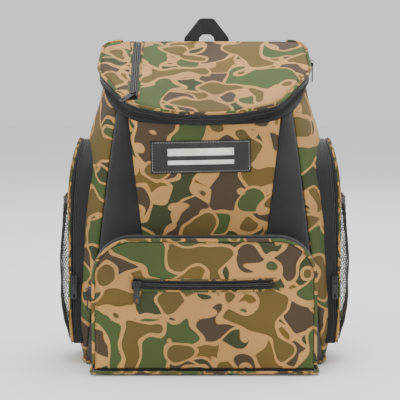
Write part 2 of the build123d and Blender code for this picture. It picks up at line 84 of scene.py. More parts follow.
SIDE_ZIP = [(177.6, 20), (179.6, 60), (180, 130), (179, 200), (176, 250), (171.5, 288), (164, 320)]
MESH_FACE = [(187.6, 34), (196, 55), (202.5, 90), (204, 135), (201, 180), (196.5, 222), (195.8, 236)]
MESH_BOTTOM = 34.0
PAD_SIDE = [(94, 424), (110, 396), (121, 335), (121, 260), (112, 180), (102, 126)]
PAD_INNER = [(24, 440), (27, 400), (44, 320), (62, 235), (74, 170), (82, 110)]
PAD_OUTER = [(84, 440), (88, 400), (106, 320), (122, 235), (124, 170), (118, 110)]
PATCH = (-5.0, 293.5, 136.0, 44.0)


# ---------------------------------------------------------------- numbers and curves
def smooth(low, high, value):
    t = np.clip((value - low) / (high - low), 0, 1)
    return t * t * (3 - 2 * t)


def curve_value(points, at):
    """A smooth curve through (value, height) points."""
    values = np.array([p[0] for p in points], float)
    heights = np.array([p[1] for p in points], float)
    slopes = np.gradient(values, heights)
    at = np.clip(at, heights[0], heights[-1])
    k = np.clip(np.searchsorted(heights, at) - 1, 0, len(heights) - 2)
    span = heights[k + 1] - heights[k]
    t = (at - heights[k]) / span
    h00, h10 = 2 * t**3 - 3 * t**2 + 1, t**3 - 2 * t**2 + t
    h01, h11 = -2 * t**3 + 3 * t**2, t**3 - t**2
    return h00 * values[k] + h10 * span * slopes[k] + h01 * values[k + 1] + h11 * span * slopes[k + 1]


def ripple(a, b, seed, wavelength, height):
    """Gentle, fixed unevenness over a surface."""
    rng = np.random.default_rng(seed)
    total = 0
    for _ in range(6):
        angle, phase = rng.uniform(0, math.pi), rng.uniform(0, 2 * math.pi)
        k = 2 * math.pi / (wavelength * rng.uniform(0.6, 1.5))
        total = total + np.sin(k * (a * math.cos(angle) + b * math.sin(angle)) + phase)
    return height * total / 3


def rounded_path(points, radii, step=2.0):
    """An open path of straight runs with rounded corners, in two dimensions, evenly enough sampled."""
    points = [np.array(p, float) for p in points]
    made = [points[0]]
    for i in range(1, len(points) - 1):
        before, corner, after = points[i - 1], points[i], points[i + 1]
        a, b = before - corner, after - corner
        a, b = a / np.linalg.norm(a), b / np.linalg.norm(b)
        radius = radii[i - 1]
        half = math.acos(float(np.clip(a @ b, -1, 1))) / 2
        if radius <= 0 or half > 1.56:
            made.append(corner)
            continue
        middle = a + b
        centre = corner + middle / np.linalg.norm(middle) * radius / math.sin(half)
        start, end = corner + a * radius / math.tan(half), corner + b * radius / math.tan(half)
        from_angle = math.atan2(*(start - centre)[::-1])
        turn = math.atan2(*(end - centre)[::-1]) - from_angle
        turn = (turn + math.pi) % (2 * math.pi) - math.pi
        count = max(3, int(abs(turn) * radius / step))
        for k in range(count + 1):
            angle = from_angle + turn * k / count
            made.append(centre + radius * np.array((math.cos(angle), math.sin(angle))))
    made.append(points[-1])
    return resample(np.array(made), step)


def resample(path, step):
    gaps = np.linalg.norm(np.diff(path, axis=0), axis=1)
    path = path[np.concatenate(([True], gaps > 1e-6))]
    along = lengths(path)
    count = max(4, int(along[-1] / step))
    at = np.linspace(0, along[-1], count + 1)
    return np.stack([np.interp(at, along, path[:, k]) for k in range(path.shape[1])], axis=1)


def lengths(path):
    return np.concatenate(([0], np.cumsum(np.linalg.norm(np.diff(path, axis=0), axis=1))))


def tangents(path):
    along = np.gradient(path, axis=0)
    return along / np.maximum(np.linalg.norm(along, axis=1, keepdims=True), 1e-9)


# ---------------------------------------------------------------- materials
def new_material(name):
    made = bpy.data.materials.new(name)
    made.use_nodes = True
    tree = made.node_tree
    return made, tree, tree.nodes["Principled BSDF"]


def node(tree, kind, **inputs):
    made = tree.nodes.new(kind)
    for key, value in inputs.items():
        made.inputs[key.replace("_", " ")].default_value = value
    return made


def math_node(tree, operation, first, second=None, clamp=False):
    made = tree.nodes.new("ShaderNodeMath")
    made.operation = operation
    made.use_clamp = clamp
    for socket, value in zip(made.inputs, (first, second)):
        if value is None:
            continue
        if isinstance(value, (int, float)):
            socket.default_value = value
        else:
            tree.links.new(value, socket)
    return made.outputs[0]


def mix_colour(tree, factor, first, second, blend="MIX"):
    made = tree.nodes.new("ShaderNodeMix")
    made.data_type = "RGBA"
    made.blend_type = blend
    for socket, value in ((made.inputs[0], factor), (made.inputs[6], first), (made.inputs[7], second)):
        if isinstance(value, (int, float)):
            socket.default_value = value
        elif isinstance(value, tuple):
            socket.default_value = (*value, 1)
        else:
            tree.links.new(value, socket)
    return made.outputs[2]


def ramp(tree, value, stops, constant=False):
    made = tree.nodes.new("ShaderNodeValToRGB")
    made.color_ramp.interpolation = "CONSTANT" if constant else "EASE"
    ends = made.color_ramp.elements
    while len(ends) < len(stops):
        ends.new(0.5)
    for element, (place, colour) in zip(ends, stops):
        element.position = place
        element.color = (*colour, 1) if isinstance(colour, tuple) else (colour, colour, colour, 1)
    tree.links.new(value, made.inputs[0])
    return made.outputs[0]


def cloth_coordinates(tree, shift=(0, 0)):
    source = tree.nodes.new("ShaderNodeUVMap")
    source.uv_map = "cloth"
    moved = node(tree, "ShaderNodeMapping")
    moved.inputs["Location"].default_value = (*shift, 0)
    tree.links.new(source.outputs[0], moved.inputs[0])
    return moved.outputs[0]


def object_coordinates(tree):
    return tree.nodes.new("ShaderNodeTexCoord").outputs["Object"]


def noise(tree, vector, scale, detail=2.0, roughness=0.5):
    made = node(tree, "ShaderNodeTexNoise", Scale=scale, Detail=detail, Roughness=roughness)
    tree.links.new(vector, made.inputs["Vector"])
    return made


def weave_height(tree, vector, pitch):
    """Over-and-under threads: a value from 0 to 1."""
    split = tree.nodes.new("ShaderNodeSeparateXYZ")
    tree.links.new(vector, split.inputs[0])
    waves = []
    for axis in (0, 1):
        turned = math_node(tree, "MULTIPLY", split.outputs[axis], 2 * math.pi / pitch)
        waves.append(math_node(tree, "SINE", turned))
    crossed = math_node(tree, "MULTIPLY", waves[0], waves[1])
    return math_node(tree, "MULTIPLY_ADD", crossed, 0.5)


def add_bump(tree, shader, height, strength, distance, normal=None):
    made = node(tree, "ShaderNodeBump", Strength=strength, Distance=distance)
    tree.links.new(height, made.inputs["Height"])
    if normal is not None:
        tree.links.new(normal, made.inputs["Normal"])
    tree.links.new(made.outputs[0], shader.inputs["Normal"])
    return made.outputs[0]


VEIN = (0.50, 0.275, 0.088)
BLOBS = [
    ((0.150, 0.092, 0.018), 19.0, 0.500),
    ((0.042, 0.050, 0.017), 21.0, 0.545),
    ((0.068, 0.044, 0.024), 20.0, 0.560),
    ((0.062, 0.092, 0.024), 22.0, 0.580),
    ((0.130, 0.086, 0.020), 23.0, 0.615),
]


def camo(name, shift, scale=1.0):
    """Woven cloth printed with overlapping rounded blobs, each with a tan outline."""
    made, tree, shader = new_material(name)
    place = cloth_coordinates(tree, shift)
    weave = weave_height(tree, place, 0.0007)
    printed = VEIN
    for number, (colour, frequency, level) in enumerate(BLOBS):
        spot = node(tree, "ShaderNodeMapping")
        spot.inputs["Location"].default_value = (1.7 * number, 0.9 * number, 3.1 * number)
        spot.inputs["Scale"].default_value = (0.95, 1.06, 1)
        tree.links.new(place, spot.inputs[0])
        field = noise(tree, spot.outputs[0], frequency * scale, 0.5, 0.4).outputs["Fac"]
        outline = ramp(tree, field, [(level - 0.048, 0.0), (level - 0.042, 1.0)])
        inside = ramp(tree, field, [(level, 0.0), (level + 0.006, 1.0)])
        rim = ramp(tree, field, [(level, 0.45), (level + 0.022, 0.0)])
        printed = mix_colour(tree, outline, printed, VEIN)
        blob = mix_colour(tree, rim, colour, (0.022, 0.018, 0.008))
        printed = mix_colour(tree, inside, printed, blob)
    fade = noise(tree, place, 7.0, 3.0)
    shade = ramp(tree, fade.outputs["Fac"], [(0.25, 0.84), (0.75, 1.12)])
    printed = mix_colour(tree, 1.0, printed, shade, "MULTIPLY")
    threads = ramp(tree, weave, [(0.0, 0.86), (1.0, 1.08)])
    printed = mix_colour(tree, 1.0, printed, threads, "MULTIPLY")
    fuzz = noise(tree, place, 900.0, 2.0)
    printed = mix_colour(
        tree, 1.0, printed, ramp(tree, fuzz.outputs["Fac"], [(0.3, 0.84), (0.7, 1.14)]), "MULTIPLY"
    )
    tree.links.new(printed, shader.inputs["Base Color"])
    rough = ramp(tree, fade.outputs["Fac"], [(0.3, 0.72), (0.7, 0.86)])
    tree.links.new(rough, shader.inputs["Roughness"])
    shader.inputs["Specular IOR Level"].default_value = 0.25
    shader.inputs["Sheen Weight"].default_value = 0.06
    shader.inputs["Sheen Roughness"].default_value = 0.6
    first = add_bump(tree, shader, weave, 0.35, 0.0004)
    creases = noise(tree, place, 26.0, 3.0)
    add_bump(tree, shader, creases.outputs["Fac"], 0.22, 0.004, first)
    return made


def plain_cloth(name, colour, pitch=0.0008, contrast=0.5, rough=0.82, crease=0.25):
    """A woven cloth of one colour, with thread shading, faded patches and soft creases."""
    made, tree, shader = new_material(name)
    place = cloth_coordinates(tree)
    weave = weave_height(tree, place, pitch)
    fade = noise(tree, place, 11.0, 4.0)
    light = tuple(min(1, c * (1 + contrast) + 0.006) for c in colour)
    dark = tuple(c * (1 - contrast * 0.6) for c in colour)
    tone = ramp(tree, fade.outputs["Fac"], [(0.3, dark), (0.72, light)])
    threads = ramp(tree, weave, [(0.0, 0.7), (1.0, 1.25)])
    tone = mix_colour(tree, 1.0, tone, threads, "MULTIPLY")
    tree.links.new(tone, shader.inputs["Base Color"])
    wear = ramp(tree, fade.outputs["Fac"], [(0.3, rough - 0.08), (0.7, min(1.0, rough + 0.08))])
    tree.links.new(wear, shader.inputs["Roughness"])
    shader.inputs["Specular IOR Level"].default_value = 0.3
    shader.inputs["Sheen Weight"].default_value = 0.18
    shader.inputs["Sheen Roughness"].default_value = 0.5
    first = add_bump(tree, shader, weave, 0.5, 0.0005)
    creases = noise(tree, place, 30.0, 3.0)
    add_bump(tree, shader, creases.outputs["Fac"], crease, 0.004, first)
    return made


def webbing(name, colour, pitch=0.0022):
    """Ribbed narrow webbing: ribs across its width in a herringbone of two diagonals."""
    made, tree, shader = new_material(name)
    place = cloth_coordinates(tree)
    split = tree.nodes.new("ShaderNodeSeparateXYZ")
    tree.links.new(place, split.inputs[0])
    across = math_node(tree, "PINGPONG", split.outputs[0], pitch * 1.5)
    slanted = math_node(tree, "ADD", split.outputs[1], across)
    ribs = math_node(tree, "SINE", math_node(tree, "MULTIPLY", slanted, 2 * math.pi / pitch))
    ribs = math_node(tree, "MULTIPLY_ADD", ribs, 0.5)
    fade = noise(tree, place, 40.0, 4.0)
    tone = ramp(
        tree, fade.outputs["Fac"],
        [(0.3, tuple(c * 0.75 for c in colour)), (0.7, tuple(c * 1.5 for c in colour))]
    )
    tone = mix_colour(tree, 1.0, tone, ramp(tree, ribs, [(0.0, 0.55), (1.0, 1.3)]), "MULTIPLY")
    tree.links.new(tone, shader.inputs["Base Color"])
    tree.links.new(ramp(tree, fade.outputs["Fac"], [(0.3, 0.55), (0.7, 0.75)]), shader.inputs["Roughness"])
    shader.inputs["Sheen Weight"].default_value = 0.15
    add_bump(tree, shader, ribs, 0.6, 0.0008)
    return made


def coil_material(name):
    """Nylon coil: close ribs across the zip, a little shiny."""
    made, tree, shader = new_material(name)
    place = cloth_coordinates(tree)
    split = tree.nodes.new("ShaderNodeSeparateXYZ")
    tree.links.new(place, split.inputs[0])
    ribs = math_node(tree, "SINE", math_node(tree, "MULTIPLY", split.outputs[0], 2 * math.pi / 0.0015))
    ribs = math_node(tree, "MULTIPLY_ADD", ribs, 0.5)
    wear = noise(tree, place, 60.0, 3.0)
    tone = ramp(tree, ribs, [(0.0, (0.008, 0.008, 0.009)), (1.0, (0.045, 0.045, 0.048))])
    tone = mix_colour(tree, 1.0, tone, ramp(tree, wear.outputs["Fac"], [(0.3, 0.8), (0.7, 1.2)]), "MULTIPLY")
    tree.links.new(tone, shader.inputs["Base Color"])
    tree.links.new(ramp(tree, wear.outputs["Fac"], [(0.3, 0.28), (0.7, 0.42)]), shader.inputs["Roughness"])
    shader.inputs["Coat Weight"].default_value = 0.2
    add_bump(tree, shader, ribs, 0.8, 0.0006)
    return made


def hard_material(name, colour, rough, metallic=0.0, grain=320.0, coat=0.0, strength=0.12):
    """Moulded plastic, rubber or enamelled metal with fine grain and uneven wear."""
    made, tree, shader = new_material(name)
    place = object_coordinates(tree)
    wear = noise(tree, place, 45.0, 4.0)
    fine = noise(tree, place, grain, 3.0)
    light = tuple(min(1, c * 1.35 + 0.01) for c in colour)
    tone = ramp(tree, wear.outputs["Fac"], [(0.35, colour), (0.75, light)])
    tree.links.new(tone, shader.inputs["Base Color"])
    tree.links.new(
        ramp(tree, fine.outputs["Fac"], [(0.3, max(0.05, rough - 0.1)), (0.7, min(1, rough + 0.1))]),
        shader.inputs["Roughness"],
    )
    shader.inputs["Metallic"].default_value = metallic
    shader.inputs["Coat Weight"].default_value = coat
    add_bump(tree, shader, fine.outputs["Fac"], strength, 0.0004)
    return made


BLACK = (0.0135, 0.0135, 0.0145)
camo_front = camo("camo_front", (0.31, 0.12))
camo_lid = camo("camo_lid", (1.27, 0.83))
camo_pocket = camo("camo_pocket", (2.11, 1.47))
camo_right = camo("camo_right", (3.4, 0.4))
camo_left = camo("camo_left", (4.6, 1.9))
camo_trim = camo("camo_trim", (5.2, 2.6), 1.4)
black_cloth = plain_cloth("black_cloth", BLACK)
black_gusset = plain_cloth("black_gusset", (0.0105, 0.0105, 0.0115), rough=0.6, crease=0.35)
zip_tape = plain_cloth("zip_tape", (0.009, 0.009, 0.0095), pitch=0.0016, rough=0.55, crease=0.1)
lining_cloth = plain_cloth("lining_cloth", (0.075, 0.08, 0.085), pitch=0.0006, rough=0.7, crease=0.5)
back_mesh = plain_cloth("back_mesh", (0.016, 0.016, 0.018), pitch=0.0032, contrast=0.4, rough=0.9, crease=0.1)
mesh_yarn = plain_cloth("mesh_yarn", (0.012, 0.012, 0.013), pitch=0.0007, rough=0.6, crease=0.05)
black_webbing = webbing("black_webbing", (0.012, 0.012, 0.013))
thread_black = hard_material("thread_black", (0.02, 0.02, 0.021), 0.6, grain=900.0)
thread_tan = hard_material("thread_tan", (0.20, 0.15, 0.08), 0.7, grain=900.0)
thread_pale = hard_material("thread_pale", (0.55, 0.55, 0.52), 0.65, grain=900.0)
coil = coil_material("zip_coil")
metal = hard_material("black_metal", (0.018, 0.018, 0.02), 0.3, metallic=0.75, coat=0.35)
rubber = hard_material("patch_rubber", (0.012, 0.012, 0.0125), 0.5, grain=520.0, strength=0.25)
rubber_pale = hard_material("patch_raised", (0.72, 0.72, 0.70), 0.5, grain=520.0, strength=0.2)
plastic = hard_material("buckle_plastic", (0.014, 0.014, 0.015), 0.42, grain=600.0)
board_material = hard_material("board", (0.02, 0.02, 0.021), 0.7, grain=240.0)


# ---------------------------------------------------------------- meshes
def make_object(name, points, faces, uvs, material):
    """A smooth-shaded mesh from points in millimetres, with cloth coordinates in metres."""
    data = bpy.data.meshes.new(name)
    data.from_pydata([tuple(p) for p in np.asarray(points, float) * MM], [], faces)
    layer = data.uv_layers.new(name="cloth")
    uvs = np.asarray(uvs, float)
    loops = np.zeros(len(data.loops), int)
    data.loops.foreach_get("vertex_index", loops)
    layer.data.foreach_set("uv", (uvs[loops] * MM).ravel())
    data.polygons.foreach_set("use_smooth", [True] * len(data.polygons))
    data.materials.append(material)
    made = bpy.data.objects.new(name, data)
    bpy.context.scene.collection.objects.link(made)
    return made


def grid_faces(rows, columns, loop=False):
    faces = []
    for i in range(rows - 1):
        for j in range(columns if loop else columns - 1):
            k = (j + 1) % columns
            faces.append((i * columns + j, i * columns + k, (i + 1) * columns + k, (i + 1) * columns + j))
    return faces


def face_away(made, centre):
    """Turns a sheet's faces away from a point in millimetres, so that its thickness lies on the near side."""
    count = len(made.data.polygons)
    normals, middles, areas = np.zeros(count * 3), np.zeros(count * 3), np.zeros(count)
    made.data.polygons.foreach_get("normal", normals)
    made.data.polygons.foreach_get("center", middles)
    made.data.polygons.foreach_get("area", areas)
    away = middles.reshape(-1, 3) - np.array(centre) * MM
    if np.sum(areas[:, None] * normals.reshape(-1, 3) * away) < 0:
        made.data.flip_normals()


def grid_object(name, points, uvs, material, thickness=0.0, centre=None, loop=False):
    """A sheet through a grid of points, its thickness towards centre, or towards the bag's inside."""
    rows, columns = points.shape[:2]
    faces = grid_faces(rows, columns, loop)
    made = make_object(name, points.reshape(-1, 3), faces, uvs.reshape(-1, 2), material)
    face_away(made, (0, 0, points[..., 2].mean() - 60) if centre is None else centre)
    if thickness:
        solid = made.modifiers.new("thickness", "SOLIDIFY")
        solid.thickness = thickness * MM
        solid.offset = -1
        solid.use_even_offset = False
    return made


def subdivide(made, levels=1):
    surface = made.modifiers.new("soft", "SUBSURF")
    surface.levels = levels
    surface.render_levels = levels
    return made


def attach(made, body, slot, *replaced):
    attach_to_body(made, body)
    if replaced:
        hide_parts(*replaced)
    return made


def ring_shares(count):
    """Sizes of nested rings, from the whole outline to almost nothing."""
    return np.linspace(1, 0.02, count) ** 0.9


def disc_rings(outline, centre, rings):
    """Nested copies of a closed outline, shrinking to its middle, for a filled crowned panel."""
    shares = ring_shares(rings)
    return centre + shares[:, None, None] * (outline[None] - centre)


def sweep_profile(path, across, lift, profile):
    """Points of a profile carried along a path: profile is (distance along across, distance along lift)."""
    profile = np.asarray(profile, float)
    return (
        path[:, None]
        + profile[None, :, 0, None] * across[:, None]
        + profile[None, :, 1, None] * lift[:, None]
    )


def sweep_uv(path, profile):
    along, around = lengths(path), lengths(np.asarray(profile, float))
    return np.stack(np.meshgrid(along, around, indexing="ij"), axis=2)


def band(name, path, across, lift, profile, material, thickness=0.0, centre=None):
    points = sweep_profile(path, across, lift, profile)
    return grid_object(name, points, sweep_uv(path, profile), material, thickness, centre)


def round_profile(radius, count=12):
    angles = np.linspace(0, 2 * math.pi, count + 1)
    return np.stack([radius * np.cos(angles), radius * np.sin(angles)], axis=1)


def cap_ends(made):
    """Closes a tube's open ends."""
    shape = bmesh.new()
    shape.from_mesh(made.data)
    bmesh.ops.remove_doubles(shape, verts=shape.verts, dist=1e-6)
    open_edges = [e for e in shape.edges if e.is_boundary]
    bmesh.ops.holes_fill(shape, edges=open_edges, sides=0)
    shape.to_mesh(made.data)
    shape.free()
    return made


def cord_along(name, path, across, lift, radius, material, count=12):
    made = band(name, path, across, lift, round_profile(radius, count), material)
    return cap_ends(made)


def stitches(name, path, normal, material, length=2.6, gap=1.5, radius=0.35, raised=0.1):
    """A line of sewn stitches along a path on a surface."""
    path = np.asarray(path, float)
    along = lengths(path)
    count = max(1, int(along[-1] / (length + gap)))
    pitch = along[-1] / count
    points, faces = [], []
    ring = np.linspace(0, 2 * math.pi, 7)[:-1]
    for k in range(count):
        ends = [pitch * k, pitch * k + length * 0.5, pitch * k + length]
        spots = np.stack([np.interp(ends, along, path[:, a]) for a in range(3)], axis=1)
        out = np.stack([np.interp(ends, along, normal[:, a]) for a in range(3)], axis=1)
        direction = spots[2] - spots[0]
        direction = direction / max(np.linalg.norm(direction), 1e-9)
        sideways = np.cross(out[1], direction)
        sideways = sideways / max(np.linalg.norm(sideways), 1e-9)
        start = len(points)
        for level, (share, height) in enumerate(((0.35, -0.25), (1.0, 0.35), (0.35, -0.25))):
            for angle in ring:
                offset = sideways * math.cos(angle) * radius * share
                offset = offset + out[level] * (math.sin(angle) * radius * share + raised + height * radius)
                points.append(spots[level] + offset)
        for level in (0, 1):
            for j in range(6):
                a, b = start + level * 6 + j, start + level * 6 + (j + 1) % 6
                faces.append((a, b, b + 6, a + 6))
        faces.append(tuple(start + j for j in range(5, -1, -1)))
        faces.append(tuple(start + 12 + j for j in range(6)))
    points = np.array(points)
    return make_object(name, points, faces, points[:, [0, 2]], material)


# ---------------------------------------------------------------- shell surface
def section(z):
    """Half of the shell's level outline at a height, from the front's middle round to the back's middle."""
    half, front, bulge, radius = (
        curve_value(list(zip(SHELL_SECTIONS[:, k], SHELL_SECTIONS[:, 0])), z) for k in (1, 2, 3, 4)
    )
    centre_x = half - radius
    near = np.linspace(max(0, centre_x - radius * 0.4), centre_x + radius * 0.6, 80)
    touch = front + bulge * (near / half) ** 2 + np.sqrt(np.maximum(radius**2 - (near - centre_x) ** 2, 0))
    k = int(np.argmax(touch))
    centre_y, foot = touch[k], near[k]
    xs = np.linspace(0, foot, 24)
    front_part = np.stack([xs, front + bulge * (xs / half) ** 2], axis=1)
    start = math.atan2(front_part[-1, 1] - centre_y, foot - centre_x)
    turn = np.linspace(start, 0, 40)[1:]
    corner = np.stack([centre_x + radius * np.cos(turn), centre_y + radius * np.sin(turn)], axis=1)
    turn = np.linspace(0, math.pi / 2, 24)
    rear = np.stack([
        half - BACK_RADIUS + BACK_RADIUS * np.cos(turn),
        BACK_Y - BACK_RADIUS + BACK_RADIUS * np.sin(turn),
    ], axis=1)
    points = np.concatenate([front_part, corner, rear, [[0, BACK_Y]]])
    return points, lengths(points)


def on_section(points, along, s):
    """Point and outward normal at a distance round the outline; below 0 or past the back is the left side."""
    total = along[-1]
    sign = 1.0
    if s < 0:
        s, sign = -s, -1.0
    elif s > total:
        s, sign = 2 * total - s, -1.0

    def spot(at):
        return np.array((np.interp(at, along, points[:, 0]), np.interp(at, along, points[:, 1])))

    step = spot(min(s + 0.8, total)) - spot(max(s - 0.8, 0))
    step = step / max(np.linalg.norm(step), 1e-9)
    here = spot(s)
    return np.array((sign * here[0], here[1])), np.array((sign * step[1], -step[0]))


def seam_at(kind, points, along, z):
    if kind == "inner":
        x = ACCENT_INNER[0] + ACCENT_INNER[1] * (z - ACCENT_LEVEL)
    elif kind == "outer":
        x = ACCENT_OUTER[0] + ACCENT_OUTER[1] * (z - ACCENT_LEVEL)
    elif kind == "back":
        return float(np.interp(BACK_SEAM_Y, points[:, 1], along))
    widest = int(np.argmax(points[:, 0]))
    return float(np.interp(x, points[: widest + 1, 0], along[: widest + 1]))


def rim_height(y, depth=RIM_DEPTH):
    return 450 + (-depth + (y - 80.5) * math.sin(SLOPE)) / math.cos(SLOPE)


def shell_front_y(x, z):
    points = section(z)[0]
    widest = int(np.argmax(points[:, 0]))
    return float(np.interp(abs(x), points[: widest + 1, 0], points[: widest + 1, 1]))


def shell_side_x(y, z):
    points = section(z)[0]
    return float(np.interp(y, points[:, 1], points[:, 0]))


def panel_points(low_seam, high_seam, across, up, inset, crown, seed, top_depth=RIM_DEPTH, bottom=1.0):
    """A grid of one shell panel between two seams, crowned and drawn in at its seams."""
    points = np.zeros((across + 1, up + 1, 3))
    uvs = np.zeros((across + 1, up + 1, 2))
    for i in range(across + 1):
        share = i / across

        def spot(z):
            outline, along = section(z)
            low = low_seam(outline, along, z)
            high = high_seam(outline, along, z)
            s = low + (high - low) * share
            here, out = on_section(outline, along, s)
            return here, out, s, high - low

        top = 400.0
        for _ in range(5):
            here = spot(top)[0]
            strip = smooth(79.0, 83.0, here[1])
            top = rim_height(here[1], top_depth) * (1 - strip) + 449.0 * strip
        for j in range(up + 1):
            z = bottom + (top - bottom) * j / up
            here, out, s, width = spot(z)
            edge = min(share, 1 - share) * width
            height = crown * (1 - math.exp(-edge / 14.0)) * min(1.0, (z - bottom) / 40 + 0.2)
            height -= 2.2 * math.exp(-((edge / 2.6) ** 2))
            height -= 5.0 * max(0.0, 1 - z / 12.0) ** 2
            height += ripple(s, z, seed, 70.0, 0.55) * min(1.0, edge / 12)
            spot_xy = here + out * (height - inset)
            points[i, j] = (spot_xy[0], spot_xy[1], z)
            uvs[i, j] = (s, z)
    return points, uvs


def seam_function(kind, sign=1):
    return lambda outline, along, z: sign * seam_at(kind, outline, along, z)


def mirror_x(points):
    flipped = points.copy()
    flipped[..., 0] *= -1
    return flipped


def build_shell():
    inner, outer_seam, back = seam_function("inner"), seam_function("outer"), seam_function("back")
    points, uvs = panel_points(seam_function("inner", -1), inner, 60, 70, 0, 1.8, 3)
    front = grid_object("front_shell", points, uvs, camo_front, 4.0)
    attach(subdivide(front), "pack", "camo_fabric", "front_panel")
    for side, sign in SIDES:
        points, uvs = panel_points(inner, outer_seam, 26, 70, 0, 1.2, 4)
        if sign < 0:
            points, uvs = mirror_x(points), uvs + (400, 0)
        accent = grid_object(f"accent_shell_{side}", points, uvs, black_cloth, 4.0)
        attach(subdivide(accent), "pack", "black_fabric", f"accent_panel_{side}")
        for edge, row in (("inner", 1), ("outer", -2)):
            line = points[row, 4:-2]
            normals = np.cross(points[row, 5:-1] - line, points[row - 1, 4:-2] - line)
            normals /= np.maximum(np.linalg.norm(normals, axis=1, keepdims=True), 1e-9)
            middle = np.array((sign * 40.0, 20.0, 0.0))
            outward = line * (1, 1, 0) - middle
            flips = np.sign(np.sum(normals * outward, axis=1, keepdims=True))
            made = stitches(f"accent_stitch_{edge}_{side}", line, normals * flips, thread_black)
            attach(made, "pack", "black_webbing")
        points, uvs = panel_points(outer_seam, back, 40, 70, 0, 1.8, 5)
        if sign < 0:
            points = mirror_x(points)
        material = camo_right if sign > 0 else camo_left
        made = grid_object(f"side_shell_{side}", points, uvs, material, 4.0)
        attach(subdivide(made), "pack", "camo_fabric", f"side_panel_{side}")
    far = lambda outline, along, z: 2 * along[-1] - seam_at("back", outline, along, z)
    points, uvs = panel_points(back, far, 60, 70, 0, 1.0, 6)
    made = grid_object("back_shell", points, uvs, black_cloth, 4.0)
    attach(subdivide(made), "pack", "black_fabric", "back_panel")
    half_outline, along = section(1.0)
    outline = np.concatenate([half_outline, mirror_x(half_outline)[::-1][1:-1]])
    outline = resample(np.concatenate([outline, outline[:1]]), 6.0)[:-1] * 0.975
    rings = disc_rings(outline, np.array((0.0, 5.0)), 14)
    level = 0.4 + 2.6 * smooth(0.93, 1.0, ring_shares(14))[:, None] * np.ones(len(outline))
    points = np.concatenate([rings, level[..., None]], axis=2)
    made = grid_object("bottom_shell", points, rings, black_cloth, 2.0, (0, 0, 100), loop=True)
    attach(cap_ends(made), "pack", "black_fabric", "bottom_panel")
    lining_points, lining_uvs = panel_points(
        lambda o, a, z: -a[-1], lambda o, a, z: a[-1],
        150, 60, 6.0, 0.0, 8, top_depth=RIM_DEPTH + 1, bottom=7.0
    )
    lining_points[..., 2] = np.minimum(lining_points[..., 2], 426)
    made = grid_object("lining", lining_points, lining_uvs, lining_cloth, 1.0)
    attach(made, "pack", "lining", "main_lining")


def build_board():
    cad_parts["base_board"].data.materials.clear()
    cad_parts["base_board"].data.materials.append(board_material)


# ---------------------------------------------------------------- lid
def lid_point(uvw):
    uvw = np.asarray(uvw, float)
    shape = uvw.shape
    flat = uvw.reshape(-1, 3)
    world = LID_ORIGIN + flat[:, :1] * (1, 0, 0) + flat[:, 1:2] * LID_Y + flat[:, 2:] * LID_Z
    return world.reshape(shape)


def lid_path(step=3.0):
    """The lid's edge from its rear right corner round the front to its rear left corner, in its plane."""
    chord, rise = 104.0, 27.0
    radius = (chord**2 + rise**2) / (2 * rise)
    centre = -172.0 + radius - rise
    reach = math.asin(chord / radius) - 15 / radius
    arc = [(radius * math.sin(a), centre - radius * math.cos(a)) for a in np.linspace(reach, -reach, 25)]
    corner, side = np.array((104.0, -172.0)), np.array((46.0, 87.0))
    start, end = corner + 15 * side / np.linalg.norm(side), np.array(arc[0])
    bend = [
        tuple((1 - t) ** 2 * start + 2 * t * (1 - t) * corner + t**2 * end)
        for t in np.linspace(0, 0.9, 9)
    ]
    right = [(118, 0), (145, 0), (150, -85), *bend]
    left = [(-x, y) for x, y in right[::-1]]
    radii = [24, 60] + [0] * (2 * len(bend) + len(arc)) + [60, 24]
    path = rounded_path(right + arc + left, radii, step)
    return path


LID_EDGE = lid_path()
LID_TANGENT = tangents(LID_EDGE)
LID_OUT = np.stack([-LID_TANGENT[:, 1], LID_TANGENT[:, 0]], axis=1)
if np.sum(LID_OUT * (LID_EDGE - (0, -90))) < 0:
    LID_OUT = -LID_OUT


def lid_frame_vectors():
    count = len(LID_EDGE)
    path = lid_point(np.concatenate([LID_EDGE, np.zeros((count, 1))], axis=1))
    across = LID_OUT[:, :1] * (1, 0, 0) + LID_OUT[:, 1:] * LID_Y
    return path, across, np.tile(LID_Z, (count, 1))


def lid_surface(u, v):
    """Height of the lid's top over its plane."""
    inside = np.minimum(150 - np.abs(u), np.minimum(-v, 199 + v) + 4)
    height = 1.6 * smooth(0, 30, inside) - 3.0 * np.exp(-((u / 75) ** 2)) * smooth(-110, 0, v)
    height = height + ripple(u, v, 21, 85.0, 1.1) * smooth(4, 30, inside)
    trench = smooth(9.0, 6.0, np.abs(u - LID_ZIP_X)) * smooth(-170, -162, v) * smooth(-1, -6, v)
    return height * (1 - trench) - 1.6 * trench


